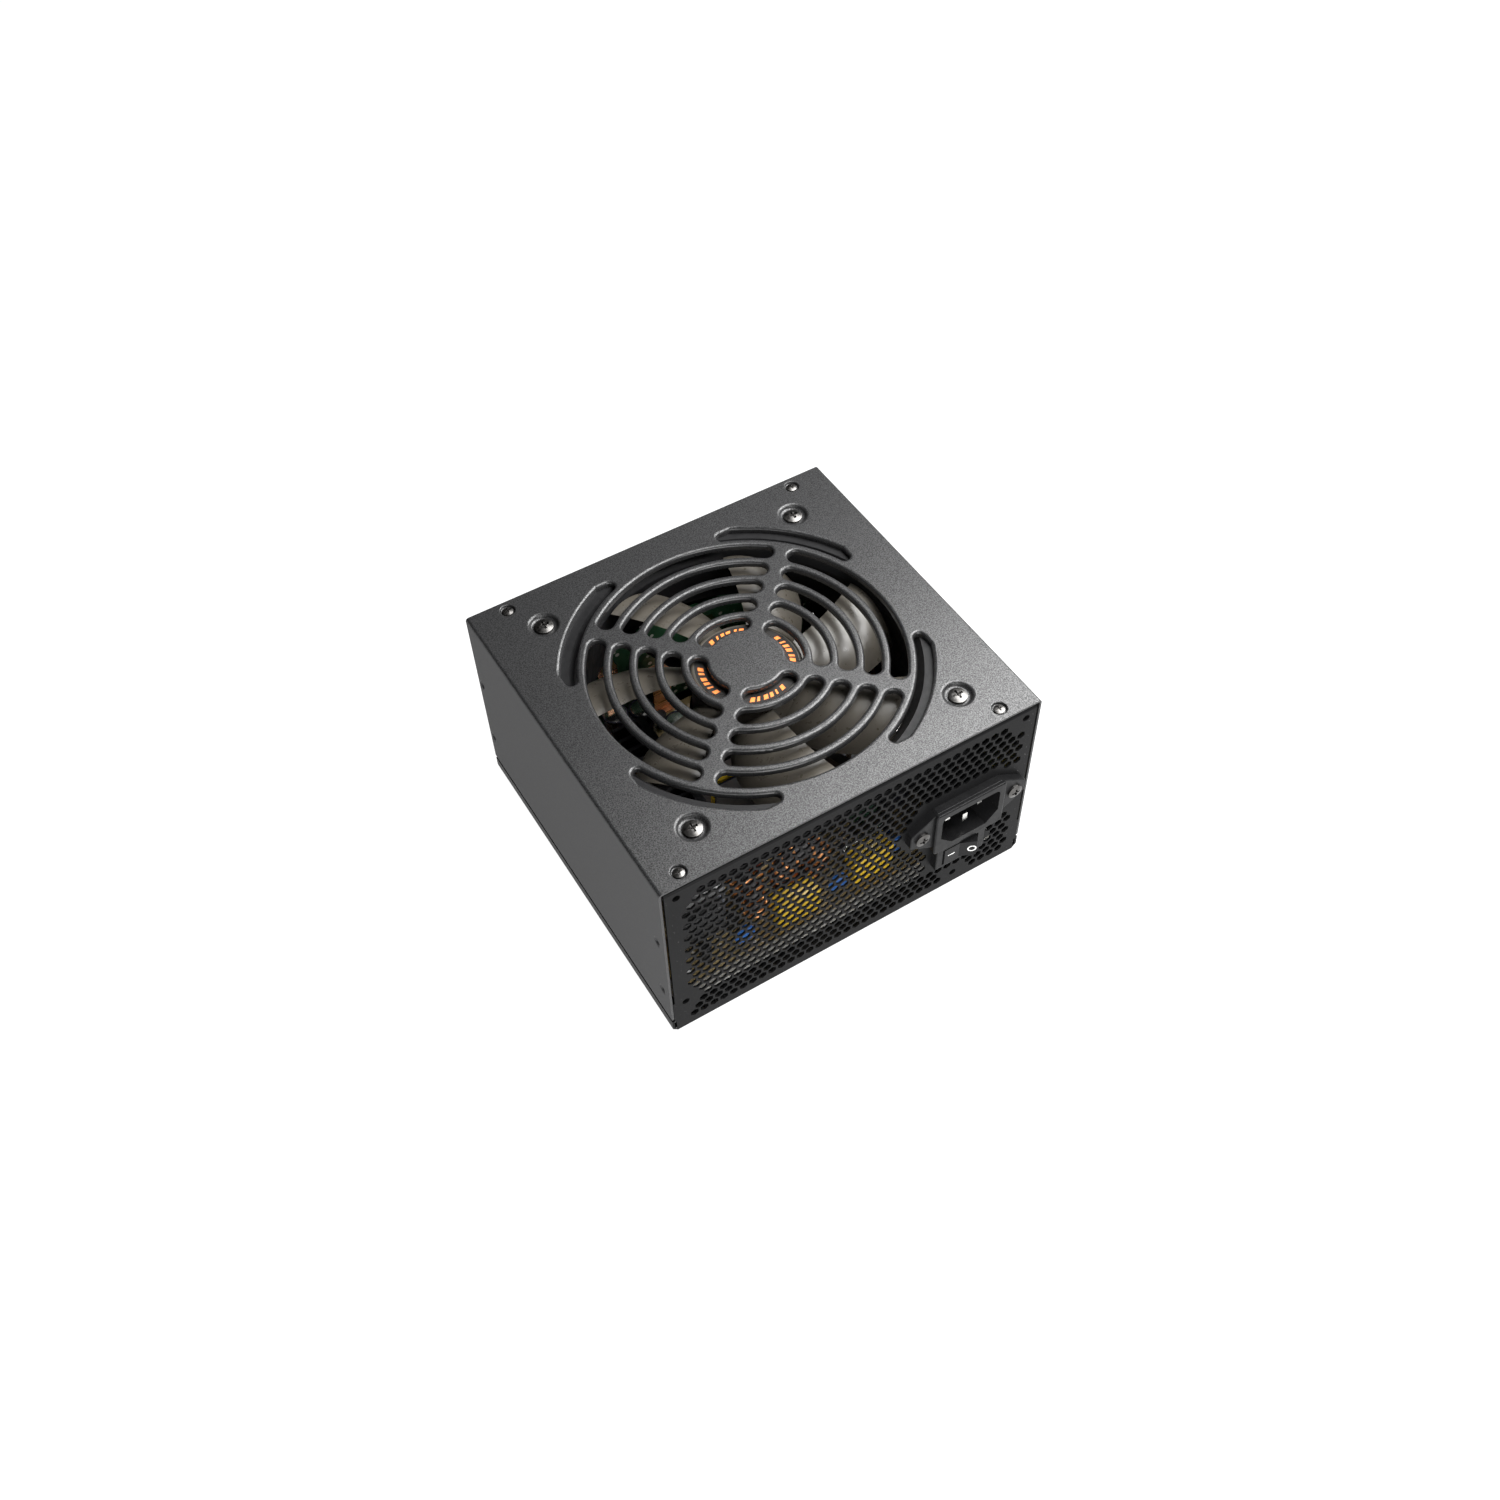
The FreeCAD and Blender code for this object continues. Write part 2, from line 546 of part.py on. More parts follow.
def chassis():
    body = new_body("chassis_body")
    wide = "case_width / 2"
    right = [(f"{wide} - bevel", 0), (wide, "bevel"), (wide, "strip_top"),
             (f"{wide} - joggle", "strip_top"), (f"{wide} - joggle", "joggle_top"),
             (f"{wide} - joggle - sheet", "joggle_top"), (f"{wide} - joggle - sheet", "strip_top - sheet"),
             (f"{wide} - sheet", "strip_top - sheet"), (f"{wide} - sheet", "bevel + 0.33"),
             (f"{wide} - bevel - 0.33", "sheet")]
    left = [(f"-({x})", z) for x, z in reversed(right)]
    pad(body, outline(new_sketch(body, "tray_section", "XZ"), right + left), "case_depth", both=True)
    for side, name in ((-1, "rear"), (1, "front")):
        section = outline(new_sketch(body, name + "_section", "YZ"), panel_corners(side))
        pad(body, section, "2 * panel_half", both=True)
    collars = new_sketch(body, "tap_collars", "XZ", "case_depth / 2 - tap_length")
    drills = new_sketch(body, "tap_drills", "XZ", "case_depth / 2 - tap_length - 1")
    for x, z in TAPS:
        circle(collars, x, z, "tap_collar")
        circle(drills, x, z, "tap_radius")
    pad(body, collars, "tap_length - sheet / 2")
    pocket(body, drills, "tap_length + 2", back=True)
    grow = "wall_clear"
    window = new_sketch(body, "inlet_window", "XZ", "case_depth / 2 - 2")
    outline(window, [
        (f"inlet_x - block_half + 0.8 - {grow}", f"block_low - {grow}"),
        (f"switch_left + 0.6 - {grow}", f"block_low - {grow}"),
        (f"switch_left + 0.6 - {grow}", f"switch_low + 0.6 - {grow}"),
        (f"switch_right - 0.6 + {grow}", f"switch_low + 0.6 - {grow}"),
        (f"switch_right - 0.6 + {grow}", f"block_low - {grow}"),
        (f"inlet_x + block_half - 0.8 + {grow}", f"block_low - {grow}"),
        (f"inlet_x + block_half - 0.8 + {grow}", f"block_high - 0.6 + {grow}"),
        (f"inlet_x - block_half + 0.8 - {grow}", f"block_high - 0.6 + {grow}")])
    pocket(body, window, 4, back=True)
    ear_holes = new_sketch(body, "ear_holes", "XZ", "case_depth / 2 - 2")
    for sign in (-1, 1):
        circle(ear_holes, f"inlet_x + {sign} * ear_screw_gap / 2", "ear_screw_z", "ear_screw_hole - 0.3")
    pocket(body, ear_holes, 4, back=True)
    openings = new_sketch(body, "socket_windows", "XZ", "-(case_depth / 2 + 1)")
    for _, columns, x, z in SOCKET_ROWS:
        half = f"({columns} * socket_pitch + socket_rim) / 2 + cutout_clear"
        tall = "socket_tall / 2 + cutout_clear"
        outline(openings, rectangle(f"{x} - ({half})", f"{z} - ({tall})", f"{x} + {half}",
                                    f"{z} + {tall} + latch_tall"))
    pocket(body, openings, 3, back=True)
    flange_drills = new_sketch(body, "flange_drills", "XY", "flange_top + 1")
    for x, y in COVER_SCREWS:
        circle(flange_drills, x, y, "cup_hole - 0.15")
    pocket(body, flange_drills, 3)
    rear = honeycomb(-1, [KEEP_CLEAR], size("cell_left"), size("cell_right"),
                     size("cell_low"), size("cell_high"), TAPS)
    front = honeycomb(1, [], size("front_vent_left"), size("front_vent_right"),
                      size("front_vent_low"), size("front_vent_high"), [])
    cells = doc.addObject("Part::Feature", "vent_cells")
    cells.Shape = Part.makeCompound(rear + front)
    return node("chassis", cut("chassis_pierced", body, cells))


def case_screws():
    cups = [screw(f"cover_screw{k}", x, y, "case_height - cup_depth", 2.0, 0.95,
                  "cup_hole - 0.25", 6)
            for k, (x, y) in enumerate(COVER_SCREWS)]
    node("cover_screws", group("cover_screw_set", cups))
    fans = [screw(f"fan_screw{k}", x, y, "case_height - bowl_depth", 3.4, 1.5,
                  "fan_hole - 0.1", 9)
            for k, (x, y) in enumerate(FAN_SCREWS)]
    node("fan_screws", group("fan_screw_set", fans))


# ---------------------------------------------------------------- mains inlet and switch
def rounded_rectangle(low_x, low_y, high_x, high_y, radius):
    near_x, far_x = f"{low_x} + {radius}", f"{high_x} - {radius}"
    near_y, far_y = f"{low_y} + {radius}", f"{high_y} - {radius}"
    return [(near_x, low_y), (far_x, low_y, radius), (high_x, near_y), (high_x, far_y, radius),
            (far_x, high_y), (near_x, high_y, radius), (low_x, far_y), (low_x, near_y, radius)]


def round_front(body, feature, proud, radius, below="case_height"):
    """Rounds the edges of one raised front face, up to a height."""
    doc.recompute()
    level, limit = -size(f"case_depth / 2 + {proud}"), size(below)

    def on_front(edge):
        spread = edge.BoundBox
        flat = abs(spread.YMin - level) < 1e-3 and abs(spread.YMax - level) < 1e-3
        return flat and (spread.ZMin + spread.ZMax) / 2 < limit

    return fillet(body, feature, radius, on_front)


def inlet_housing():
    body = new_body("inlet_body")
    rear = "case_depth / 2"
    ears = outline(new_sketch(body, "ears", "XZ", rear), [
        ("inlet_x - ear_top_half", "ear_top"), ("inlet_x - ear_half + 0.9", "ear_high + 0.6", "ear_round"),
        ("inlet_x - ear_half", "ear_high - 0.8"), ("inlet_x - ear_half", "ear_low + 0.8", "ear_round"),
        ("inlet_x - ear_half + 0.9", "ear_low - 0.6"), ("inlet_x - block_half + 1", "ear_foot"),
        ("inlet_x + block_half - 1", "ear_foot"),
        ("inlet_x + ear_half - 0.9", "ear_low - 0.6", "ear_round"),
        ("inlet_x + ear_half", "ear_low + 0.8"), ("inlet_x + ear_half", "ear_high - 0.8", "ear_round"),
        ("inlet_x + ear_half - 0.9", "ear_high + 0.6"), ("inlet_x + ear_top_half", "ear_top")])
    front = pad(body, ears, "ear_proud")
    round_front(body, front, "ear_proud", "edge_soft")
    block = outline(new_sketch(body, "block", "XZ", rear), rounded_rectangle(
        "inlet_x - block_half", "block_low", "inlet_x + block_half", "block_high", "block_round"))
    front = pad(body, block, "block_proud")
    round_front(body, front, "block_proud", "edge_soft + 0.2")
    skirt = outline(new_sketch(body, "switch_block", "XZ", rear), rectangle(
        "switch_left", "switch_low", "switch_right", "block_low + 1"))
    front = pad(body, skirt, "ear_proud")
    round_front(body, front, "ear_proud", "edge_soft", "block_low - 0.5")
    inner = outline(new_sketch(body, "inlet_inner", "XZ", rear), rectangle(
        "inlet_x - block_half + 0.8", "block_low", "inlet_x + block_half - 0.8", "block_high - 0.6"))
    pad(body, inner, "inlet_back", back=True)
    lower = outline(new_sketch(body, "switch_inner", "XZ", rear), rectangle(
        "switch_left + 0.6", "switch_low + 0.6", "switch_right - 0.6", "block_low + 1"))
    pad(body, lower, "inlet_back", back=True)
    low, high = "cavity_low", "cavity_high"
    cavity = outline(new_sketch(body, "inlet_cavity", "XZ", f"{rear} + block_proud + 1"), [
        ("inlet_x - cavity_half + cavity_bevel", low), ("inlet_x + cavity_half - cavity_bevel", low),
        ("inlet_x + cavity_half", f"{low} + cavity_bevel"),
        ("inlet_x + cavity_half", f"{high} - cavity_round", "cavity_round"),
        ("inlet_x + cavity_half - cavity_round", high),
        ("inlet_x - cavity_half + cavity_round", high, "cavity_round"),
        ("inlet_x - cavity_half", f"{high} - cavity_round"),
        ("inlet_x - cavity_half", f"{low} + cavity_bevel")])
    pocket(body, cavity, "block_proud + cavity_floor + 1")
    window = outline(new_sketch(body, "rocker_window", "XZ", f"{rear} + ear_proud + 2"), rectangle(
        "switch_x - window_half", "switch_z - window_tall / 2", "switch_x + window_half",
        "switch_z + window_tall / 2"))
    pocket(body, window, "ear_proud + window_floor + 2")
    stubs = circle(new_sketch(body, "stub_bore", "XY", "switch_z"), "switch_x",
                   f"-({rear} + ear_proud - pivot_sunk)", "stub_radius + running")
    pocket(body, stubs, "2 * stub_half + 0.4", both=True)
    slits = new_sketch(body, "pin_slits", "XZ", rear)
    for x, z in PIN_PLACES:
        outline(slits, rectangle(f"{x} - pin_wide / 2 - 0.05", f"{z} - pin_tall / 2 - 0.05",
                                 f"{x} + pin_wide / 2 + 0.05", f"{z} + pin_tall / 2 + 0.05"))
    for x in TERMINAL_X:
        outline(slits, rectangle(f"{x} - terminal_thick / 2 - 0.05", "switch_z - terminal_tall / 2 - 0.05",
                                 f"{x} + terminal_thick / 2 + 0.05", "switch_z + terminal_tall / 2 + 0.05"))
    pocket(body, slits, "inlet_back + 1")
    holes = new_sketch(body, "ear_screw_holes", "XZ", f"{rear} + ear_proud + 1")
    for sign in (-1, 1):
        circle(holes, f"inlet_x + {sign} * ear_screw_gap / 2", "ear_screw_z", "ear_screw_hole")
    pocket(body, holes, "ear_proud + 2")
    return node("inlet_housing", body)


PIN_PLACES = [("inlet_x - pin_gap / 2", "pin_row"), ("inlet_x + pin_gap / 2", "pin_row"),
              ("inlet_x", "earth_row")]
TERMINAL_X = ["switch_x", "switch_x + bridge_half - 0.6"]


def inlet_metal():
    blades = []
    for k, (x, z) in enumerate(PIN_PLACES):
        lead = "earth_lead" if k == 2 else "0"
        reach = f"(pin_tip + {lead} + tab_end)"
        blades.append(box(f"pin{k}", ("pin_wide", reach, "pin_tall"),
                          (x, f"-case_depth / 2 - pin_tip - {lead} + {reach} / 2", f"{z} - pin_tall / 2")))
    node("inlet_pins", group("inlet_pin_set", blades))
    screws = [screw(f"ear_screw{k}", f"inlet_x + {sign} * ear_screw_gap / 2", "-case_depth / 2 - ear_proud",
                    "ear_screw_z", 2.9, 1.5, "ear_screw_hole - 0.35", 9, axis="y", down=False)
              for k, sign in enumerate((-1, 1))]
    node("inlet_screws", group("inlet_screw_set", screws))


def rocker():
    """Two facets in a shallow valley; the ends are arcs about the pivot; stubs turn in the housing."""
    body = new_body("rocker_body")
    half_swing = "(rocker_swing * 1deg / 2)"
    edge_turn = "(asin((pivot_sunk + facet_rise) / rocker_radius))"
    valley = "(pivot_sunk + facet_rise)"
    pivot_y = "(-case_depth / 2 - ear_proud + pivot_sunk)"
    tilt = half_swing
    under = "rocker_under"
    under_x = f"sqrt(rocker_radius^2 - {under}^2)"

    def turned(u, v):
        """A point of the upright section, turned to the rest position (the -X end pressed in)."""
        return (f"switch_x + ({u}) * cos({tilt}) - ({v}) * sin({tilt})",
                f"{pivot_y} - (({u}) * sin({tilt}) + ({v}) * cos({tilt}))")

    end_x = f"rocker_radius * cos({edge_turn} + {half_swing})"
    end_v = f"rocker_radius * sin({edge_turn} + {half_swing})"
    section = outline(new_sketch(body, "rocker_section", "XY", "switch_z"), [
        (*turned(f"-({under_x})", f"-{under}"),),
        (*turned(under_x, f"-{under}"), "-rocker_radius"),
        (*turned(end_x, end_v),),
        (*turned("0", f"{valley} / cos({half_swing})"),),
        (*turned(f"-({end_x})", end_v), "-rocker_radius")])
    pad(body, section, "rocker_tall", both=True)
    stubs = circle(new_sketch(body, "rocker_stubs", "XY", "switch_z"), "switch_x", pivot_y, "stub_radius")
    pad(body, stubs, "2 * stub_half", both=True)
    return node("rocker", body)


def switch_contacts():
    pivot_y = "(-case_depth / 2 - ear_proud + pivot_sunk)"
    tilt = size("rocker_swing") / 2
    plunger = cylinder("plunger_rod", "plunger_radius", "plunger_reach - rocker_under", ("0", "0", "0"))
    lean = FreeCAD.Rotation(Vector(0, 0, 1), -tilt).multiply(TURN["y"])
    start = size("rocker_under")
    direction = lean.multVec(Vector(0, 0, 1))
    base = Vector(size("switch_x"), size(pivot_y), size("switch_z")) + direction * start
    for letter in "xyz":
        plunger.setExpression(f".Placement.Base.{letter}", None)
    plunger.Placement = FreeCAD.Placement(base, lean)
    node("switch_plunger", plunger)
    bridge = bind(doc.addObject("Part::Box", "bridge"), Length="2 * bridge_half", Width="bridge_thick",
                  Height="bridge_tall")
    rock = FreeCAD.Rotation(Vector(0, 0, 1), tilt * size("bridge_ratio"))
    centre = Vector(size("switch_x"), size(pivot_y + " + bridge_back"), size("switch_z"))
    corner = Vector(-size("bridge_half"), -size("bridge_thick") / 2, -size("bridge_tall") / 2)
    bridge.Placement = FreeCAD.Placement(centre + rock.multVec(corner), rock)
    fulcrum = cylinder("bridge_fulcrum", "fulcrum_radius", "fulcrum_long",
                       ("switch_x", pivot_y + " + bridge_back", "switch_z - fulcrum_long / 2"))
    node("contact_bridge", fuse("bridge_on_fulcrum", bridge, fulcrum))
    blades = []
    for k, x in enumerate(TERMINAL_X):
        start_y = f"({pivot_y} + bridge_back + bridge_thick / 2 + {0.35 if k == 0 else 1.15})"
        end_y = "(-case_depth / 2 + tab_end)"
        blades.append(box(f"terminal{k}", ("terminal_thick", f"{end_y} - {start_y}", "terminal_tall"),
                          (x, f"({start_y} + {end_y}) / 2", "switch_z - terminal_tall / 2")))
    node("switch_terminals", group("terminal_set", blades))


def mains_leads():
    """Short insulated leads, held at both ends, from the inlet and switch tabs to the board."""
    top = "board_under + board_thick"
    tab = "-case_depth / 2 + tab_end"
    live_x = "inlet_x + pin_gap / 2"
    switched = [(TERMINAL_X[1], tab, "switch_z"), (TERMINAL_X[1], f"{tab} + 5", "switch_z"),
                (f"{TERMINAL_X[1]} + 1", f"{tab} + 8", "switch_z - 6"),
                (f"{TERMINAL_X[1]} + 1", f"{tab} + 8", top)]
    link = [(live_x, tab, "pin_row"), (live_x, f"{tab} + 4.5", "pin_row"),
            (f"{live_x} - 3", f"{tab} + 6", "pin_row - 8"),
            ("switch_x + 1.5", f"{tab} + 4", "switch_z + 4"), ("switch_x", tab, "switch_z + 0.1")]
    neutral_x = "inlet_x - pin_gap / 2"
    neutral = [(neutral_x, tab, "pin_row"), (neutral_x, f"{tab} + 5", "pin_row"),
               (f"{neutral_x} - 4", f"{tab} + 8", "pin_row - 10"), (f"{neutral_x} - 4", f"{tab} + 8", top)]
    wires = [bent_tube("lead_switched", switched, 1.3), bent_tube("lead_neutral", neutral, 1.3),
             bent_tube("lead_link", link[:4] + [("switch_x", f"{tab} + 0.9", "switch_z + 1")], 1.3)]
    node("mains_wires", group("mains_wire_set", wires))
    earth = [("inlet_x", tab, "earth_row"), ("inlet_x", "-42", "earth_row"), (50, -39.5, 38),
             (60, -39.5, 34), (69.5, -42, 21), (70.2, -49.5, "board_under + 4"), (70.2, -50, "sheet + 3")]
    node("earth_wire", bent_tube("lead_earth", earth, 1.3))
    plate = cylinder("earth_eye", 3.4, 0.8, ("70.2 - 1.2", "-50", "sheet + 1.2"))
    bolt = fuse("earth_bolt", cylinder("earth_nut", 2.6, 1.0, ("69", "-50", "sheet")), plate)
    node("earth_terminal", bolt)


# ---------------------------------------------------------------- fan
FAN_BASE = "(case_height - bowl_depth - sheet - fan_thick)"


def fan_level(text):
    return f"({FAN_BASE} + {text})"


def fan_frame():
    block = box("fan_block", ("fan_side", "fan_side", "fan_thick"), (0, 0, FAN_BASE))
    doc.recompute()
    rounded = doc.addObject("Part::Fillet", "fan_block_round")
    rounded.Base = block
    upright = [i for i, edge in enumerate(block.Shape.Edges, 1) if edge.BoundBox.ZLength > 20]
    corner = size("fan_corner")
    rounded.Edges = [(i, corner, corner) for i in upright]
    duct = cylinder("fan_duct", "duct_radius", "fan_thick", (0, 0, FAN_BASE))
    flare = cone("fan_flare", "duct_radius", "mouth_radius", "mouth_deep",
                 (0, 0, fan_level("fan_thick - mouth_deep")))
    sides = box("fan_inside", ("fan_side - 2 * fan_wall", "fan_side - 2 * fan_wall", "mouth_deep"),
                (0, 0, fan_level("fan_thick - mouth_deep")))
    lip = common("fan_mouth", flare, sides)
    waist = cut("fan_waist", box("fan_slab", ("fan_side + 2", "fan_side + 2", "fan_thick - 2 * fan_flange"),
                                 (0, 0, fan_level("fan_flange"))),
                cylinder("fan_barrel", "barrel_radius", "fan_thick", (0, 0, FAN_BASE)))
    holes = [cylinder(f"fan_hole{k}", "fan_hole", "fan_thick", (x, y, FAN_BASE)) for k,
             (x, y) in enumerate(FAN_SCREWS)]
    shell = cut("fan_shell", rounded, duct, lip, waist, *holes)
    arms = []
    reach = "(duct_radius + 1 - motor_radius + 1)"
    for k in range(4):
        arm = box(f"strut{k}", (reach, "strut_wide", "strut_tall"), (0, 0, 0))
        for letter in "xyz":
            arm.setExpression(f".Placement.Base.{letter}", None)
        spin = FreeCAD.Rotation(Vector(0, 0, 1), 90 * k + 20)
        corner_at = spin.multVec(Vector(size("motor_radius - 1"), -size("strut_wide") / 2, size(FAN_BASE)))
        arm.Placement = FreeCAD.Placement(corner_at, spin)
        arms.append(arm)
    base = cylinder("motor_plate", "motor_radius", "motor_base", (0, 0, FAN_BASE))
    sleeve = cylinder("bearing_sleeve", "tube_radius", "tube_top - motor_base",
                      (0, 0, fan_level("motor_base")))
    bore = cylinder("sleeve_bore", "tube_bore", "tube_top - motor_base", (0, 0, fan_level("motor_base")))
    whole = fuse("fan_frame_whole", shell, *arms, base, sleeve)
    return node("fan_frame", cut("fan_frame_bored", whole, bore))


# Blade sections: distance of the plane from the axis, then angle and height of both edges
BLADE_SECTIONS = [(13, 5.8, 20.7, -38.3, 6.6), (24, 8.5, 21.2, -31.2, 7.2), (38, 12, 21.3, -22.3, 8.4),
                  (57, 17, 21.2, -9.3, 10.1)]


def fan_impeller():
    body = new_body("impeller_body")
    hub = outline(new_sketch(body, "hub_section", "XZ"), [
        ("hub_radius - hub_wall", fan_level("hub_low")), ("hub_radius", fan_level("hub_low")),
        ("hub_radius", fan_level("hub_top - hub_round"), "hub_round"),
        ("hub_radius - hub_round", fan_level("hub_top")),
        (0, fan_level("hub_top")), (0, fan_level("hub_top - hub_wall")),
        ("hub_radius - hub_wall", fan_level("hub_top - hub_wall"))])
    turn(body, hub, "Revolution")
    sections = []
    for k, (plane, lead, lead_z, trail, trail_z) in enumerate(BLADE_SECTIONS):
        sketch = new_sketch(body, f"blade_section{k}", "YZ", plane)
        lead_at = (f"{plane} * tan({lead} * 1deg)", fan_level(lead_z))
        trail_at = (f"{plane} * tan({trail} * 1deg)", fan_level(trail_z))
        chord = f"sqrt(({lead_at[0]} - ({trail_at[0]}))^2 + ({lead_z} - {trail_z})^2)"
        outline(sketch, [(*trail_at, f"-1.15 * {chord}"), (*lead_at, f"0.92 * {chord}")])
        sections.append(sketch)
    blade = body.newObject("PartDesign::AdditiveLoft", "blade")
    blade.Profile = sections[0]
    blade.Sections = sections[1:]
    blade.Ruled = False
    axis = new_sketch(body, "fan_axis", "XY")
    pattern = polar(body, [blade], int(size("blade_count")), axis)
    rim = outline(new_sketch(body, "tip_trim", "XZ"), rectangle(
        "tip_radius", fan_level("-5"), "tip_radius + 30", fan_level("fan_thick + 5")))
    turn(body, rim, "Groove")
    core = outline(new_sketch(body, "root_trim", "XZ"), rectangle(
        0, fan_level("-5"), "hub_radius - hub_wall", fan_level("hub_top - hub_wall")))
    turn(body, core, "Groove")
    return node("fan_impeller", body)


def fan_motor():
    label = cylinder("label_disc", "label_radius", "label_thick", (0, 0, fan_level("hub_top")))
    node("fan_hub_label", label)
    roof = fan_level("hub_top - hub_wall")
    yoke = cut("yoke_cup", cylinder("yoke_outer", "yoke_radius", "hub_top - hub_wall - hub_low - 1",
                                    (0, 0, fan_level("hub_low + 1"))),
               cylinder("yoke_inner", "yoke_radius - yoke_wall",
                        "hub_top - hub_wall - hub_low - 1 - yoke_wall", (0, 0, fan_level("hub_low + 1"))),
               cylinder("yoke_hole", "shaft_radius", 30, (0, 0, FAN_BASE)))
    node("rotor_yoke", yoke)
    ring = tube("magnet_ring", "yoke_radius - yoke_wall", "yoke_radius - yoke_wall - magnet_wall",
                "magnet_tall", (0, 0, fan_level("magnet_low")))
    node("rotor_magnet", ring)
    shaft = cylinder("shaft_rod", "shaft_radius", f"{roof} - {fan_level('shaft_low')}",
                     (0, 0, fan_level("shaft_low")))
    groove = tube("shaft_groove", "shaft_radius + 1", "shaft_radius - 0.4", 0.5,
                  (0, 0, fan_level("shaft_low + 0.6")))
    node("fan_shaft", cut("shaft_grooved", shaft, groove))
    node("shaft_clip",
         tube("clip_ring", 3.0, "shaft_radius - 0.4", 0.5, (0, 0, fan_level("shaft_low + 0.6"))))
    node("fan_bearing", tube("bearing_bush", "tube_bore", "shaft_radius + 0.03", "tube_top - bearing_low",
                             (0, 0, fan_level("bearing_low"))))
    disc = tube("core_disc", "core_radius", "tube_radius", "core_tall", (0, 0, fan_level("core_low")))
    windows, coils = [], []
    for k in range(4):
        spin = FreeCAD.Rotation(Vector(0, 0, 1), 90 * k + 45)
        middle = spin.multVec(Vector(size("core_radius") * 0.66, 0, 0))
        windows.append(cylinder(f"core_window{k}", 3.1, "core_tall",
                                (middle.x, middle.y, fan_level("core_low"))))
        spin = FreeCAD.Rotation(Vector(0, 0, 1), 90 * k)
        middle = spin.multVec(Vector(size("core_radius") * 0.62, 0, 0))
        for name, level in (("over", "core_low + core_tall"), ("below", "core_low - 2")):
            coils.append(cylinder(f"coil_{name}{k}", 3.4, 2, (middle.x, middle.y, fan_level(level))))
    node("stator_core", cut("core_poles", disc, *windows))
    node("stator_windings", group("coil_set", coils))
    node("fan_circuit_board", tube("driver_disc", "driver_radius", "tube_radius + 0.1", "driver_thick",
                                   (0, 0, fan_level("driver_low"))))


# ---------------------------------------------------------------- main board and its components
TOP = "(board_under + board_thick)"


def board():
    deep = "(board_front - board_rear)"
    plate = box("board_plate", ("2 * board_half", deep, "board_thick"),
                (0, "(board_front + board_rear) / 2", "board_under"))
    places = [(f"{i} * standoff_x", y) for i in (-1, 1) for y in ("standoff_rear", "standoff_front")]
    holes = [cylinder(f"board_hole{k}", 1.7, "board_thick", (x, y, "board_under")) for k,
             (x, y) in enumerate(places)]
    node("main_board", cut("board_drilled", plate, *holes))
    posts = [tube(f"standoff{k}", "standoff_radius", 1.5, "board_under - sheet", (x, y, "sheet")) for k,
             (x, y) in enumerate(places)]
    node("board_standoffs", group("standoff_set", posts))
    screws = [screw(f"board_screw{k}", x, y, TOP, 2.9, 1.7, 1.4, 6) for k, (x, y) in enumerate(places)]
    node("board_screws", group("board_screw_set", screws))
    film = box("film_plate", ("2 * film_half", f"{deep} + 4", "film_thick"),
               (0, "(board_front + board_rear) / 2", "film_height"))
    holes = [cylinder(f"film_hole{k}", "standoff_radius + 0.3", 2, (x, y, "film_height - 1")) for k,
             (x, y) in enumerate(places)]
    node("insulation_sheet", cut("film_drilled", film, *holes))


def toroid(label, x, y, axis, ring, thick, wire):
    """A ring core standing on the board inside its winding."""
    outer = ring + thick + wire
    centre = (x, y, f"{TOP} + {outer}")
    core = torus(label + "_ring", ring, thick, centre, axis)
    wound = cut(label + "_wound", torus(label + "_coat", ring, thick + wire, centre, axis),
                torus(label + "_room", ring, thick, centre, axis))
    return core, wound


def chokes():
    first_core, first_coil = toroid("line_choke_a", -7, -46, "y", 8.2, 3.4, 1.5)
    second_core, second_coil = toroid("line_choke_b", -29, -44, "x", 7.2, 3.0, 1.4)
    node("line_choke_cores", group("line_cores", [first_core, second_core]))
    node("line_choke_windings", group("line_coils", [first_coil, second_coil]))
    core, coil = toroid("pfc_choke", 47, 8, "y", 10.5, 5.0, 2.0)
    node("pfc_choke_core", core)
    node("pfc_choke_winding", coil)
    core, coil = toroid("output_choke", -52, 29, "y", 8.5, 3.6, 1.6)
    node("output_choke_core", core)
    node("output_choke_winding", coil)


def transformer(label, x, y, wide, deep, tall, leg):
    """An E core closed round a bobbin with its winding between the legs."""
    block = box(label + "_block", (wide, deep, tall), (x, y, f"{TOP} + 2"))
    room = box(label + "_room", (wide - 2 * leg, deep + 2, tall - 2 * leg), (x, y, f"{TOP} + 2 + {leg}"))
    middle = box(label + "_middle", (wide * 0.3, deep, tall - 2 * leg), (x, y, f"{TOP} + 2 + {leg}"))
    core = fuse(label + "_core", cut(label + "_frame", block, room), middle)
    gap = 0.3
    bobbin = box(label + "_bobbin", (wide - 2 * leg - 2 * gap, deep + 9, tall - 2 * leg - 2 * gap),
                 (x, y, f"{TOP} + 2 + {leg + gap}"))
    hole = box(label + "_bobbin_hole", (wide * 0.3 + 2 * gap, deep + 0.6, tall - 2 * leg),
               (x, y, f"{TOP} + 2 + {leg}"))
    feet = [box(f"{label}_foot{k}", (wide * 0.7, 4, 2 + leg + gap + 1),
                (x, y + s * (deep / 2 + 2.4), TOP)) for k, s in enumerate((-1, 1))]
    winding = cut(label + "_winding", fuse(label + "_spool", bobbin, *feet), hole)
    return core, winding


def transformers():
    core, winding = transformer("main_transformer", -9, 6, 34, 24, 33, 6)
    node("transformer_core", core)
    node("transformer_winding", winding)
    core, winding = transformer("standby", 24, 22, 20, 13, 18, 3.6)
    node("standby_core", core)
    node("standby_winding", winding)


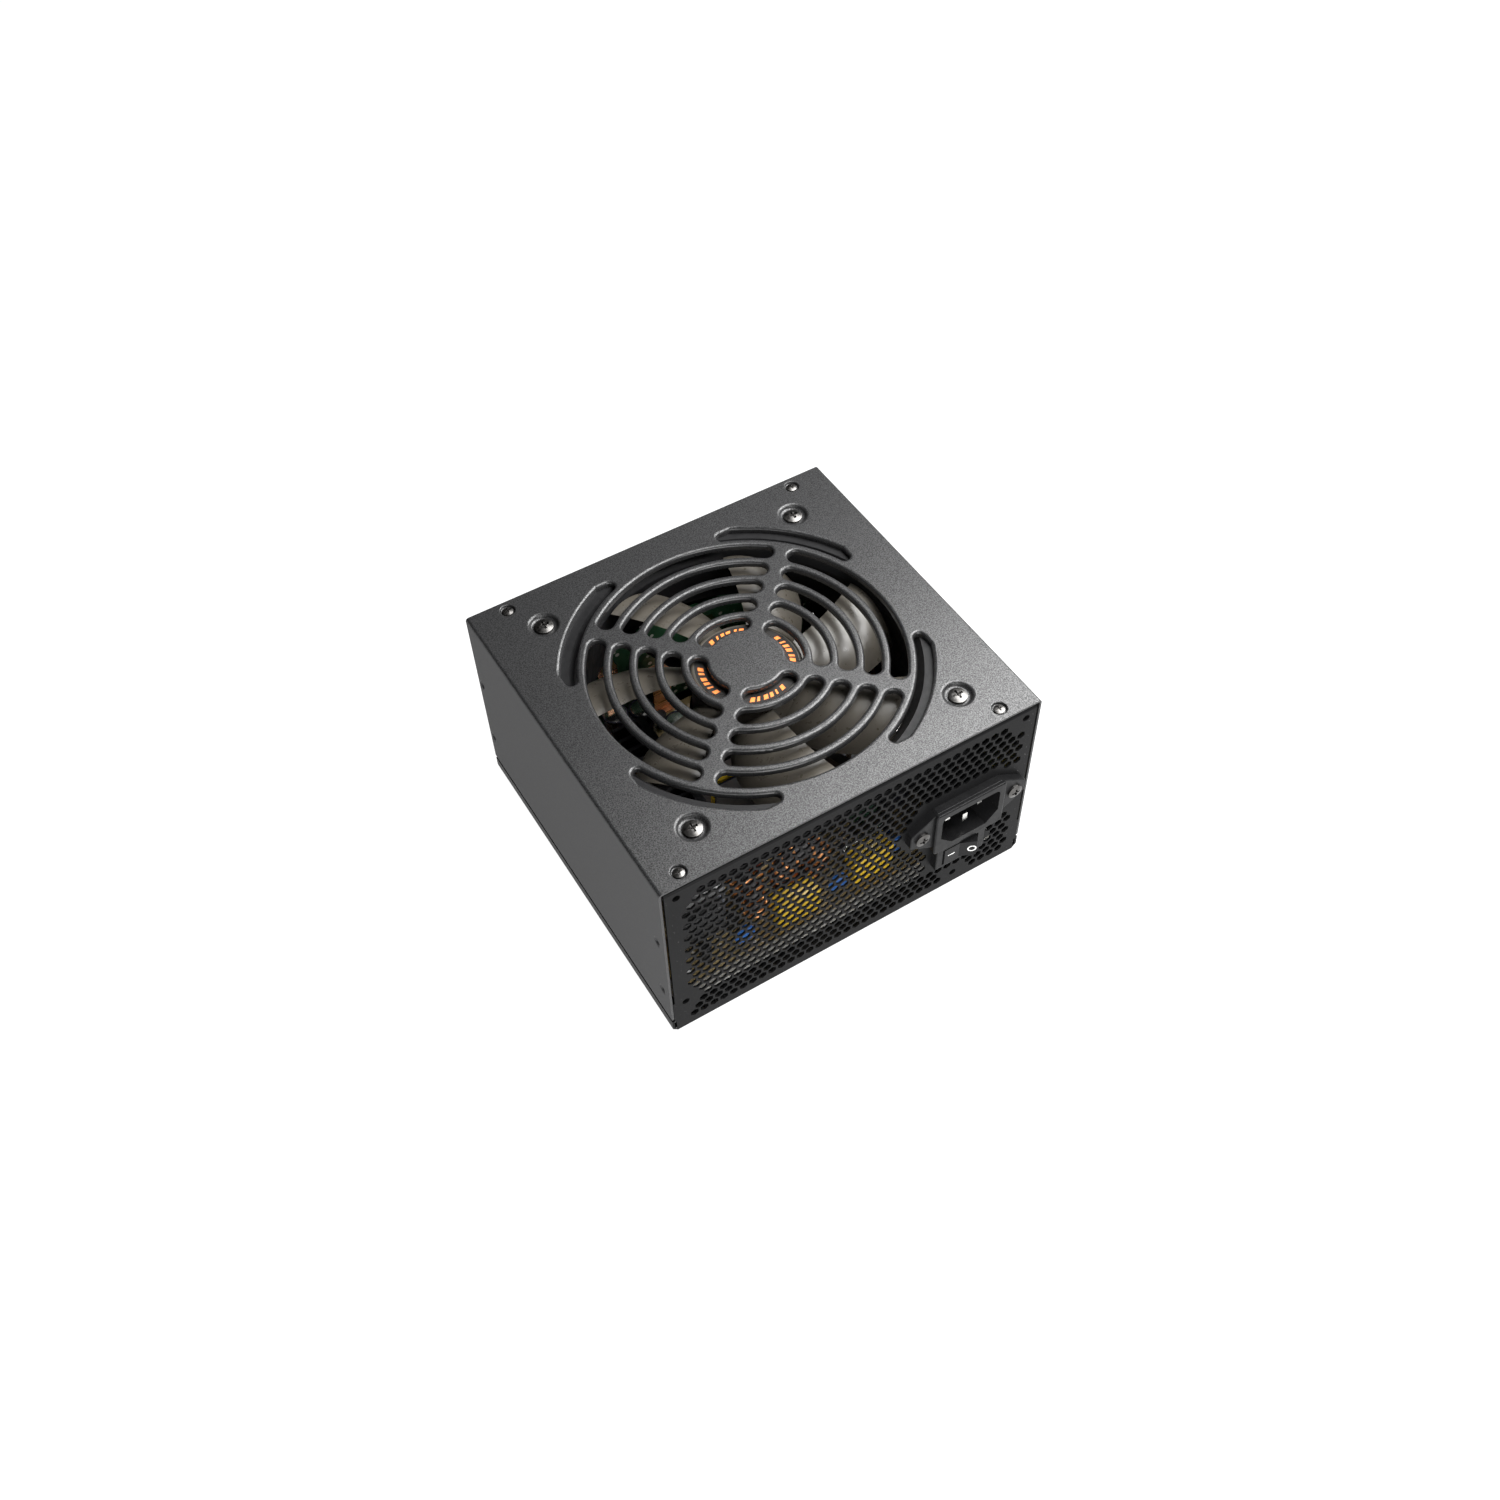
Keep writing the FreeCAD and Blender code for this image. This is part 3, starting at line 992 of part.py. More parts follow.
def finned_sink(name, x, y, long_side, tall, fins, reach, side):
    """An upright plate along Y with level-pitched upright fins on one side."""
    plate = box(name + "_plate", (3, long_side, tall), (x, y, TOP))
    parts = [plate]
    pitch = (long_side - 2) / (fins - 1)
    for k in range(fins):
        at = y - long_side / 2 + 1 + k * pitch
        parts.append(box(f"{name}_fin{k}", (reach, 1.4, tall - 4),
                         (x + side * (1.5 + reach / 2 - 0.01), at, f"{TOP} + 4")))
    return fuse(name, *parts)


def heatsinks():
    node("secondary_heatsink", finned_sink("secondary_sink", -33, 0, 46, 43, 9, 10, -1))
    node("primary_heatsink", finned_sink("primary_sink", 14, -14, 34, 40, 7, 7, 1))
    rectifiers = [box(f"rectifier{k}", (4.6, 10.4, 16), (-29.2, y, f"{TOP} + 6")) for k,
                  y in enumerate((-15, -2, 15))]
    node("output_rectifiers", group("rectifier_set", rectifiers))
    switches = [box(f"transistor{k}", (4.8, 12, 18), (10.1, y, f"{TOP} + 6")) for k,
                y in enumerate((-24.4, -12.2))]
    node("primary_transistors", group("transistor_set", switches))
    bridge_plate = box("bridge_plate", (22, 2, 30), (-51, -48, TOP))
    wings = [box(f"bridge_wing{k}", (2, 9, 30), (-51 + s * 10, -43.6, TOP)) for k, s in enumerate((-1, 1))]
    node("bridge_heatsink", fuse("bridge_sink", bridge_plate, *wings))
    node("bridge_rectifier", box("bridge_block", (18, 3.8, 15), (-51, -50.9, f"{TOP} + 8")))


def capacitors():
    node("bulk_capacitor", can("bulk", 47, -22, 15, 44))
    cans = [can(f"output_can{k}", x, y, 5, tall) for k, (x, y, tall) in enumerate(
        [(-54.5, 43, 20), (-44, 43, 20), (-33.5, 43, 25), (-22, 44, 20), (-12, 34, 16), (-31, 31, 20)])]
    node("output_capacitors", group("output_cans", cans))
    boxes = [box("filter_a", (18, 7.5, 14), (-15.2, -55.5, TOP)),
             box("filter_b", (17, 7.5, 15), (18, -54, TOP)),
             box("filter_c", (15, 6.5, 12), (59, -42, TOP))]
    node("filter_capacitors", group("filter_set", boxes))
    discs = [cylinder(f"ceramic{k}", 4.2, 3, (x, y, f"{TOP} + 5.5"), "y") for k,
             (x, y) in enumerate(((3.5, -57), (31, -54), (-37, -58)))]
    node("ceramic_capacitors", group("ceramic_set", discs))
    node("thermistor", cylinder("thermistor_disc", 6.5, 4.5, (28, -37, f"{TOP} + 7.5"), "y"))
    ends = [cylinder(f"fuse_end{k}", 3.1, 4, (x, -44.5, f"{TOP} + 3.6"), "x") for k,
            x in enumerate((11, 29))]
    node("fuse",
         fuse("fuse_whole", cylinder("fuse_core", 2.6, 16, (13, -44.5, f"{TOP} + 3.6"), "x"), *ends))


def can(name, x, y, radius, tall):
    """An electrolytic can with a rolled groove near its foot."""
    shell = cylinder(name + "_shell", radius, tall, (x, y, TOP))
    groove = torus(name + "_ring", radius + 0.35, 0.8, (x, y, f"{TOP} + {max(2.6, tall * 0.09)}"))
    return cut(name, shell, groove)


def board_extras():
    plate = box("control_plate", (38, 1.6, 26), (22, 39, TOP))
    chips = [box(f"control_chip{k}", (7, 1.8, 7), (x, 37.3, f"{TOP} + {z}")) for k,
             (x, z) in enumerate(((10, 9), (22, 12), (33, 8)))]
    node("control_board", fuse("control_whole", plate, *chips))
    header = cut("header_shell", box("header_block", (7.5, 6, 6.5), (52, 44, TOP)),
                 box("header_room", (5.9, 4.4, 5), (52, 44, f"{TOP} + 1.5")))
    node("fan_header", header)
    node("fan_plug", box("plug_block", (5.5, 4.0, 7.5), (52, 44, f"{TOP} + 1.6")))
    leads = []
    for k, shift in enumerate((-1.2, 1.2)):
        leads.append(bent_tube(f"fan_wire{k}", [
            (f"52 + {shift}", "44", f"{TOP} + 9.1"), (f"52 + {shift}", "44", f"{TOP} + 22"),
            (f"51 + {shift}", "46", f"{TOP} + 34"),
            (f"50 + {shift}", "50", f"{TOP} + 43"), (f"50 + {shift}", "55", f"{FAN_BASE} - 1.2")], 0.7))
    node("fan_lead", group("fan_wire_set", leads))


# ---------------------------------------------------------------- output sockets
def socket(name, columns, x, z):
    body = new_body("socket_" + name)
    wide = f"({columns} * socket_pitch + socket_rim)"
    shell = outline(new_sketch(body, name + "_shell", "XZ", "-socket_front"), rectangle(
        f"{x} - {wide} / 2", f"{z} - socket_tall / 2", f"{x} + {wide} / 2", f"{z} + socket_tall / 2"))
    pad(body, shell, "socket_depth")
    latch = outline(new_sketch(body, name + "_latch", "XZ", "-socket_front"), rectangle(
        f"{x} - latch_wide / 2", f"{z} + socket_tall / 2 - 0.2", f"{x} + latch_wide / 2",
        f"{z} + socket_tall / 2 + latch_tall"))
    pad(body, latch, "socket_depth * 0.6")
    cells = new_sketch(body, name + "_cells", "XZ", "-(socket_front + 1)")
    first = f"({x} - ({columns} - 1) * socket_pitch / 2)"
    for sign in (-1, 1):
        level = f"({z} + {sign} * socket_pitch / 2)"
        outline(cells, rectangle(f"{first} - cell_open / 2", f"{level} - cell_open / 2",
                                 f"{first} + cell_open / 2", f"{level} + cell_open / 2"))
    hollow = pocket(body, cells, "cell_depth + 1", back=True)
    row_of = body.newObject("PartDesign::LinearPattern", name + "_row")
    row_of.Originals = [hollow]
    row_of.Direction = (cells, ["H_Axis"])
    bind(row_of, Length=f"({columns} - 1) * socket_pitch")
    row_of.Occurrences = columns
    body.Tip = row_of
    return body


def output_side():
    shells = {name: socket(name, columns, x, z) for name, columns, x, z in SOCKET_ROWS}
    node("motherboard_socket",
         group("board_socket_set", [s for n, s in shells.items() if n.startswith("board")]))
    node("power_sockets",
         group("power_socket_set", [s for n, s in shells.items() if not n.startswith("board")]))
    back = "(socket_front - socket_depth)"
    pins = []
    for name, columns, x, z in SOCKET_ROWS:
        for c in range(columns):
            for sign in (-1, 1):
                at_x = f"{x} + ({c} - ({columns} - 1) / 2) * socket_pitch"
                at_z = f"{z} + {sign} * socket_pitch / 2 - contact_side / 2"
                long_pin = "(socket_depth - 2.4)"
                pins.append(box(f"pin_{name}_{c}_{'ud'[sign > 0]}",
                                ("contact_side", long_pin, "contact_side"),
                                (at_x, f"{back} + {long_pin} / 2", at_z)))
    node("socket_pins", group("socket_pin_set", pins))
    plate = box("socket_plate",
                ("2 * socket_board_half", "socket_board_thick", "socket_board_high - socket_board_low"),
                (0, f"{back} - socket_board_thick / 2", "socket_board_low"))
    node("socket_board", plate)
    bars = []
    for k, (x, z) in enumerate(((-50, 24), (-30, 38), (-8, 24), (14, 38), (40, 24))):
        foot = box(f"bar_foot{k}", (8, 3, 1.2), (x, "board_front - 1.5", TOP))
        riser = box(f"bar_riser{k}", (8, 1.2, z), (x, "board_front - 0.6", TOP))
        arm = box(f"bar_arm{k}", (8, f"{back} - socket_board_thick - board_front + 1.2", 1.2),
                  (x, f"({back} - socket_board_thick + board_front - 1.2) / 2", f"{TOP} + {z} - 1.2"))
        bars.append(fuse(f"bus_bar{k}", foot, riser, arm))
    node("bus_bars", group("bus_bar_set", bars))


# ---------------------------------------------------------------- build, check and export
top_cover()
chassis()
case_screws()
inlet_housing()
inlet_metal()
rocker()
switch_contacts()
mains_leads()
fan_frame()
fan_impeller()
fan_motor()
board()
chokes()
transformers()
heatsinks()
capacitors()
board_extras()
output_side()
doc.recompute()

problems = [f"{obj.Name}: {obj.State}" for obj in doc.Objects if {"Invalid", "Error"} & set(obj.State)]
problems += [f"{obj.Label}: null or not valid" for obj in nodes if obj.Shape.isNull()
             or not obj.Shape.isValid()]
if problems:
    raise SystemExit("\n".join(problems))

os.makedirs("parts", exist_ok=True)
for obj in nodes:
    obj.Shape.exportStep(f"parts/{obj.Label}.step")
print(len(nodes), "sub-parts written")
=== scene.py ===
import json
import math
import random

import bmesh
import bpy
from mathutils import Matrix, Vector
from mathutils.bvhtree import BVHTree


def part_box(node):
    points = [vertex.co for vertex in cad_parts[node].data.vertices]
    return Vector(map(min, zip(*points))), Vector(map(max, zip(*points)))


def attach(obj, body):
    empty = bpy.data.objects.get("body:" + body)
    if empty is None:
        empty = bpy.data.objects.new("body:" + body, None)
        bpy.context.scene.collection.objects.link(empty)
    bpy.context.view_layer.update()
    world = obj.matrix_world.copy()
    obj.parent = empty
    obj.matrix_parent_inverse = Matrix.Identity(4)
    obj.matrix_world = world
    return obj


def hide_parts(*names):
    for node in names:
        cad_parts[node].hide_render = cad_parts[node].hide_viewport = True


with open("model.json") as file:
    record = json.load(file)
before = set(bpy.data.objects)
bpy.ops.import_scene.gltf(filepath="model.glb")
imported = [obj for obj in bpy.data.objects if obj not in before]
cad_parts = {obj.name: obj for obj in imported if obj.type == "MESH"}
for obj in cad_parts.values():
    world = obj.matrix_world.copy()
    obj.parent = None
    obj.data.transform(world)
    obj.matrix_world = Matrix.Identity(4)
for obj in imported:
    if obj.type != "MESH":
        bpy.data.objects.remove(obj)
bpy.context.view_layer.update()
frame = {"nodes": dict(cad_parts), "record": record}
nodes = frame["nodes"]
MM = 0.001


def span(node):
    """Centre and size of a CAD node's box."""
    low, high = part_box(node)
    return (low + high) / 2, high - low


# ---------------------------------------------------------------- camera, floor and lights
CAMERA_AT = Vector((-192.2, -331.1, 514.4)) * MM
CAMERA_TO = Vector((0.31350, 0.53932, -0.78157))
CAMERA_ROLL = math.radians(1.72)
CAMERA_LENS = 39.51


def add_camera():
    data = bpy.data.cameras.new("camera")
    data.lens = CAMERA_LENS
    data.sensor_width = 36
    data.clip_start = 0.01
    camera = bpy.data.objects.new("camera", data)
    bpy.context.scene.collection.objects.link(camera)
    aim = CAMERA_TO.to_track_quat("-Z", "Y").to_matrix().to_4x4()
    camera.matrix_world = Matrix.Translation(CAMERA_AT) @ aim @ Matrix.Rotation(-CAMERA_ROLL, 4, "Z")
    bpy.context.scene.camera = camera


def add_light(name, at, aim, size, power, colour=(1, 1, 1)):
    data = bpy.data.lights.new(name, "AREA")
    data.shape = "RECTANGLE"
    data.size, data.size_y = size
    data.energy = power
    data.color = colour
    light = bpy.data.objects.new(name, data)
    bpy.context.scene.collection.objects.link(light)
    way = Vector(aim) - Vector(at)
    light.matrix_world = Matrix.Translation(Vector(at)) @ way.to_track_quat("-Z", "Y").to_matrix().to_4x4()


def add_studio():
    world = bpy.data.worlds.new("studio")
    bpy.context.scene.world = world
    world.use_nodes = True
    world.node_tree.nodes["Background"].inputs["Color"].default_value = (1, 1, 1, 1)
    world.node_tree.nodes["Background"].inputs["Strength"].default_value = 0.02
    bpy.context.scene.view_settings.view_transform = "Standard"
    bpy.ops.mesh.primitive_plane_add(size=6)
    floor = bpy.context.object
    floor.name = "floor"
    floor.location.z = -0.0002
    paper, shader = new_material("floor_paper", (0.12, 0.12, 0.12), 1.0)
    shader.inputs["Specular IOR Level"].default_value = 0.0
    shader.inputs["Emission Color"].default_value = (1, 1, 1, 1)
    shader.inputs["Emission Strength"].default_value = 1.0
    floor.data.materials.append(paper)
    add_light("key", (0.262, -0.037, 0.414), (0, 0, 0.05), (0.45, 0.45), 8.4)
    add_light("left", (-0.36, -0.36, 0.12), (0, -0.03, 0.04), (0.3, 0.3), 0.9)
    add_light("front", (-0.1, -0.65, 0.20), (0, 0, 0.04), (0.4, 0.4), 3.6)


# ---------------------------------------------------------------- material kit
def new_material(name, colour, roughness, metallic=0.0):
    material = bpy.data.materials.new(name)
    material.use_nodes = True
    shader = material.node_tree.nodes["Principled BSDF"]
    shader.inputs["Base Color"].default_value = (*colour, 1)
    shader.inputs["Roughness"].default_value = roughness
    shader.inputs["Metallic"].default_value = metallic
    return material, shader


class Nodes:
    """Short names for the shader nodes that the materials share."""

    def __init__(self, material):
        self.tree = material.node_tree
        coords = self.tree.nodes.new("ShaderNodeTexCoord")
        self.place = coords.outputs["Object"]

    def add(self, kind, **inputs):
        node = self.tree.nodes.new(kind)
        for key, value in inputs.items():
            self.set(node, key, value)
        return node

    def set(self, node, key, value):
        socket = node.inputs[key.replace("_", " ")]
        if isinstance(value, bpy.types.NodeSocket):
            self.tree.links.new(value, socket)
        else:
            socket.default_value = value

    def noise(self, scale, detail=2.0, roughness=0.5, vector=None):
        node = self.add("ShaderNodeTexNoise", Scale=scale, Detail=detail, Roughness=roughness)
        self.tree.links.new(vector or self.place, node.inputs["Vector"])
        return node.outputs["Fac"]

    def spread(self, value, low, high, new_low=0.0, new_high=1.0):
        node = self.add("ShaderNodeMapRange", Value=value, From_Min=low, From_Max=high, To_Min=new_low,
                        To_Max=new_high)
        return node.outputs["Result"]

    def mix(self, factor, first, second):
        node = self.tree.nodes.new("ShaderNodeMix")
        node.data_type = "RGBA"
        self.set_socket(node.inputs[0], factor)
        self.set_socket(node.inputs[6], first)
        self.set_socket(node.inputs[7], second)
        return node.outputs[2]

    def set_socket(self, socket, value):
        if isinstance(value, bpy.types.NodeSocket):
            self.tree.links.new(value, socket)
        elif isinstance(value, tuple) and len(value) == 3:
            socket.default_value = (*value, 1)
        else:
            socket.default_value = value

    def maths(self, operation, first, second=0.0):
        node = self.tree.nodes.new("ShaderNodeMath")
        node.operation = operation
        self.set_socket(node.inputs[0], first)
        self.set_socket(node.inputs[1], second)
        return node.outputs[0]

    def bump(self, height, strength, distance, normal=None):
        node = self.add("ShaderNodeBump", Height=height, Strength=strength, Distance=distance)
        if normal:
            self.tree.links.new(normal, node.inputs["Normal"])
        return node.outputs["Normal"]

    def axis(self, letter):
        split = self.add("ShaderNodeSeparateXYZ", Vector=self.place)
        return split.outputs[letter]


def scaled(colour, factor):
    return tuple(channel * factor for channel in colour)


def grained(name, colour, roughness, metallic=0.0, grain=2600, depth=0.05, tint=0.12, patch=60,
            gloss_spread=0.08,
            level=0.5):
    """A surface with a fine moulded or sprayed grain, soft tone patches and uneven gloss."""
    material, shader = new_material(name, colour, roughness, metallic)
    kit = Nodes(material)
    tone = kit.spread(kit.noise(patch, 3), 0.3, 0.7)
    fine = kit.noise(grain, 2)
    mixed = kit.mix(tone, scaled(colour, 1 - tint), scaled(colour, 1 + tint))
    kit.tree.links.new(mixed, shader.inputs["Base Color"])
    rough = kit.spread(kit.noise(patch * 6, 2), 0.3, 0.7, roughness - gloss_spread,
                       roughness + gloss_spread)
    kit.tree.links.new(rough, shader.inputs["Roughness"])
    kit.tree.links.new(kit.bump(fine, 1.0, depth * MM), shader.inputs["Normal"])
    shader.inputs["Specular IOR Level"].default_value = level
    return material


def powder_coat(name, colour, roughness, grain, depth, gleam, painted_light_wall_colour):
    """Textured powder coat: pebbles whose tops catch more light, smoother where it ran thin on the rims
    round the fan, and rougher and less glossy on the upright walls, whose colour is painted lighter to
    stand in for the light that falls on them."""
    wall_roughness, rim_roughness, grille_radius, edge = 0.6, 0.22, 67 * MM, 0.5 * MM
    material, shader = new_material(name, colour, roughness)
    kit = Nodes(material)
    centre, size = span("top_cover")
    top = centre.z + size.z / 2
    wall = kit.spread(kit.maths("ABSOLUTE", kit.axis("X")), size.x / 2 - 0.25 * MM, size.x / 2 - 0.05 * MM)
    flat = kit.add("ShaderNodeVectorMath")
    flat.operation = "MULTIPLY"
    kit.tree.links.new(kit.place, flat.inputs[0])
    flat.inputs[1].default_value = (1, 1, 0)
    reach = kit.add("ShaderNodeVectorMath")
    reach.operation = "LENGTH"
    kit.tree.links.new(flat.outputs["Vector"], reach.inputs[0])
    grille = kit.spread(reach.outputs["Value"], grille_radius + edge, grille_radius - edge)
    rim = kit.maths("MULTIPLY", grille, kit.spread(kit.axis("Z"), top - 0.10 * MM, top - 0.45 * MM))
    pebbles = kit.noise(grain, 2, 0.6)
    tops = kit.spread(pebbles, 0.36, 0.64)
    patches = kit.spread(kit.noise(35, 2), 0.3, 0.7, 0.9, 1.1)
    spots = kit.maths("MULTIPLY", tops, patches)
    coat = kit.mix(spots, scaled(colour, 0.7), scaled(colour, 1.3))
    # painted light: the upright walls get a lighter copy of the coat's colour, standing in for the light
    # falling on them
    painted_wall_light = kit.mix(spots, scaled(painted_light_wall_colour, 0.95), scaled(painted_light_wall_colour, 1.05))
    kit.tree.links.new(kit.mix(wall, coat, painted_wall_light), shader.inputs["Base Color"])
    soft = kit.spread(wall, 0, 1, 1, 0.08)
    calm = kit.maths("MULTIPLY", soft, kit.spread(rim, 0, 1, 1, 0.3))
    level = kit.maths("ADD", 0.5, kit.maths("MULTIPLY", calm, kit.spread(tops, 0, 1, -gleam, gleam)))
    kit.tree.links.new(kit.maths("MULTIPLY", level, soft), shader.inputs["Specular IOR Level"])
    rough = kit.maths("ADD", kit.spread(wall, 0, 1, roughness, wall_roughness),
                      kit.spread(rim, 0, 1, 0, rim_roughness - roughness))
    kit.tree.links.new(rough, shader.inputs["Roughness"])
    kit.tree.links.new(kit.bump(kit.maths("MULTIPLY", pebbles, calm), 1.0, depth * MM),
                       shader.inputs["Normal"])
    return material


def brushed(name, colour, roughness, scale=(40, 40, 2500)):
    """Drawn or stamped metal with fine lines along one direction."""
    material, shader = new_material(name, colour, roughness, 1.0)
    kit = Nodes(material)
    stretch = kit.add("ShaderNodeMapping", Vector=kit.place)
    stretch.inputs["Scale"].default_value = scale
    lines = kit.noise(1.0, 4, 0.6, stretch.outputs["Vector"])
    kit.tree.links.new(kit.mix(kit.spread(lines, 0.3, 0.7), scaled(colour, 0.85), scaled(colour, 1.1)),
                       shader.inputs["Base Color"])
    kit.tree.links.new(kit.spread(lines, 0.3, 0.7, roughness - 0.08, roughness + 0.1),
                       shader.inputs["Roughness"])
    kit.tree.links.new(kit.bump(lines, 0.6, 0.01 * MM), shader.inputs["Normal"])
    return material


def wound_wire(name, colour, roughness=0.28):
    """Enamelled copper: glossy varnish over warm metal, darker where the varnish is thick."""
    material, shader = new_material(name, colour, roughness, 0.75)
    kit = Nodes(material)
    tone = kit.spread(kit.noise(420, 3), 0.3, 0.7)
    kit.tree.links.new(kit.mix(tone, scaled(colour, 0.65), scaled(colour, 1.15)),
                       shader.inputs["Base Color"])
    kit.tree.links.new(kit.bump(kit.noise(1800, 2), 1.0, 0.02 * MM), shader.inputs["Normal"])
    shader.inputs["Coat Weight"].default_value = 0.6
    shader.inputs["Coat Roughness"].default_value = 0.12
    return material


def taped(name, colour, layer):
    """Layers of polyester tape: thin level lines and a glossy film."""
    material, shader = new_material(name, colour, 0.3)
    kit = Nodes(material)
    waves = kit.add("ShaderNodeTexWave", Scale=1.0 / (layer * MM) / 6.283, Distortion=1.2, Detail=1.0)
    waves.bands_direction = "Z"
    kit.tree.links.new(kit.place, waves.inputs["Vector"])
    tone = kit.spread(kit.noise(90, 2), 0.3, 0.7)
    blended = kit.mix(tone, scaled(colour, 0.82), scaled(colour, 1.08))
    kit.tree.links.new(kit.mix(kit.maths("MULTIPLY", waves.outputs["Fac"], 0.35), blended,
                               scaled(colour, 0.55)), shader.inputs["Base Color"])
    kit.tree.links.new(kit.bump(waves.outputs["Fac"], 0.6, 0.05 * MM), shader.inputs["Normal"])
    shader.inputs["Coat Weight"].default_value = 0.35
    return material


def board_material(name, colour, trace):
    """A circuit board with faint traces in a grid of cells and small bright pads."""
    material, shader = new_material(name, colour, 0.45)
    kit = Nodes(material)
    cells = kit.add("ShaderNodeTexVoronoi", Scale=130.0)
    cells.distance = "MANHATTAN"
    cells.feature = "F1"
    kit.tree.links.new(kit.place, cells.inputs["Vector"])
    tracks = kit.spread(cells.outputs["Distance"], 0.34, 0.38)
    pads = kit.add("ShaderNodeTexVoronoi", Scale=210.0)
    kit.tree.links.new(kit.place, pads.inputs["Vector"])
    dots = kit.spread(pads.outputs["Distance"], 0.2, 0.17)
    base = kit.mix(tracks, colour, trace)
    kit.tree.links.new(kit.mix(kit.maths("MULTIPLY", dots, 0.8), base, (0.62, 0.6, 0.55)),
                       shader.inputs["Base Color"])
    kit.tree.links.new(kit.spread(dots, 0, 1, 0.5, 0.28), shader.inputs["Roughness"])
    kit.tree.links.new(kit.bump(tracks, 0.5, 0.04 * MM), shader.inputs["Normal"])
    return material


def worn_panel(name, colour, roughness):
    """The rear panel's coat, with small bright nicks near its upright edges."""
    material, shader = new_material(name, colour, roughness)
    kit = Nodes(material)
    half = span("chassis")[1].x / 2
    fine = kit.noise(2400, 3, 0.6)
    edge = kit.spread(kit.maths("ABSOLUTE", kit.axis("X")), half - 0.009, half - 0.003)
    nicks = kit.spread(kit.noise(900, 4, 0.75), 0.66, 0.7)
    worn = kit.maths("MULTIPLY", edge, nicks)
    tone = kit.spread(kit.noise(45, 2), 0.3, 0.7)
    base = kit.mix(tone, scaled(colour, 0.88), scaled(colour, 1.12))
    kit.tree.links.new(kit.mix(worn, base, (0.5, 0.5, 0.5)), shader.inputs["Base Color"])
    kit.tree.links.new(kit.spread(fine, 0.35, 0.65, roughness - 0.07, roughness + 0.07),
                       shader.inputs["Roughness"])
    kit.tree.links.new(kit.bump(fine, 1.0, 0.02 * MM), shader.inputs["Normal"])
    shader.inputs["Specular IOR Level"].default_value = 0.06
    return material


COPPER = (0.72, 0.30, 0.10)
MATERIALS = {
    # the last colour here is the lighter painted-light colour of the coat's upright walls
    "powder_black": lambda: powder_coat("powder_black", (0.020, 0.020, 0.0205), 0.355, 2300, 0.045, 0.30,
                                        (0.085, 0.085, 0.086)),
    "panel_black": lambda: worn_panel("panel_black", (0.007, 0.007, 0.0073), 0.42),
    "screw_nickel": lambda: brushed("screw_nickel", (0.12, 0.116, 0.112), 0.34, (900, 900, 900)),
    "inlet_plastic": lambda: grained("inlet_plastic", (0.009, 0.009, 0.0094), 0.36, grain=3000, depth=0.02,
                                     level=0.13),
    "rocker_plastic": lambda: grained("rocker_plastic", (0.009, 0.009, 0.0094), 0.30, grain=3200,
                                      depth=0.015, level=0.10),
    "bright_metal": lambda: brushed("bright_metal", (0.80, 0.79, 0.76), 0.16, (300, 1500, 300)),
    "steel": lambda: brushed("steel", (0.55, 0.55, 0.55), 0.30),
    "brass": lambda: brushed("brass", (0.78, 0.60, 0.30), 0.28),
    "copper_metal": lambda: brushed("copper_metal", (0.85, 0.48, 0.30), 0.28),
    "wire_black": lambda: grained("wire_black", (0.02, 0.02, 0.021), 0.4, grain=1500, depth=0.02),
    "wire_green": lambda: grained("wire_green", (0.10, 0.34, 0.07), 0.4, grain=1500, depth=0.02),
    "fan_frame_plastic": lambda: grained("fan_frame_plastic", (0.007, 0.007, 0.0075), 0.5, grain=1800,
                                         depth=0.03, level=0.2),
    "fan_blade_plastic": lambda: grained("fan_blade_plastic", (0.066, 0.059, 0.048), 0.34, grain=2000,
                                         depth=0.012, tint=0.06),
    "hub_label_film": lambda: grained("hub_label_film", (0.020, 0.019, 0.018), 0.32, grain=1200,
                                      depth=0.004, level=0.2),
    "magnet": lambda: grained("magnet", (0.06, 0.055, 0.055), 0.6),
    "bearing_bronze": lambda: brushed("bearing_bronze", (0.62, 0.44, 0.24), 0.35),
    "stator_steel": lambda: brushed("stator_steel", (0.38, 0.38, 0.39), 0.35, (60, 60, 6000)),
    "enamel_copper": lambda: wound_wire("enamel_copper", COPPER),
    "circuit_board": lambda: board_material("circuit_board", (0.46, 0.33, 0.15), (0.36, 0.27, 0.12)),
    "green_board": lambda: board_material("green_board", (0.012, 0.055, 0.024), (0.018, 0.078, 0.032)),
    "film_clear": lambda: grained("film_clear", (0.72, 0.72, 0.69), 0.25, grain=600, depth=0.01),
    "ferrite": lambda: grained("ferrite", (0.045, 0.042, 0.044), 0.5, grain=1600, depth=0.05),
    "green_core": lambda: grained("green_core", (0.022, 0.070, 0.038), 0.42, grain=1200, depth=0.04),
    "yellow_tape": lambda: taped("yellow_tape", (0.82, 0.55, 0.03), 1.6),
    "can_sleeve": lambda: grained("can_sleeve", (0.022, 0.022, 0.035), 0.24, grain=500, depth=0.01),
    "ceramic_blue": lambda: grained("ceramic_blue", (0.03, 0.13, 0.42), 0.32, grain=700, depth=0.06),
    "thermistor_green": lambda: grained("thermistor_green", (0.03, 0.09, 0.05), 0.5, grain=900, depth=0.08),
    "glass_clear": lambda: glass("glass_clear"),
    "sink_black": lambda: brushed("sink_black", (0.035, 0.035, 0.038), 0.38, (300, 300, 900)),
    "chip_black": lambda: grained("chip_black", (0.022, 0.022, 0.023), 0.46, grain=2200, depth=0.04),
    "yellow_box": lambda: grained("yellow_box", (0.80, 0.52, 0.03), 0.3, grain=700, depth=0.02),
}


def glass(name):
    material, shader = new_material(name, (0.9, 0.92, 0.92), 0.06)
    shader.inputs["Transmission Weight"].default_value = 0.85
    shader.inputs["IOR"].default_value = 1.47
    kit = Nodes(material)
    kit.tree.links.new(kit.bump(kit.noise(200, 2), 0.5, 0.01 * MM), shader.inputs["Normal"])
    return material


made = {}


def finish(slot):
    if slot not in made:
        made[slot] = MATERIALS[slot]()
    return made[slot]


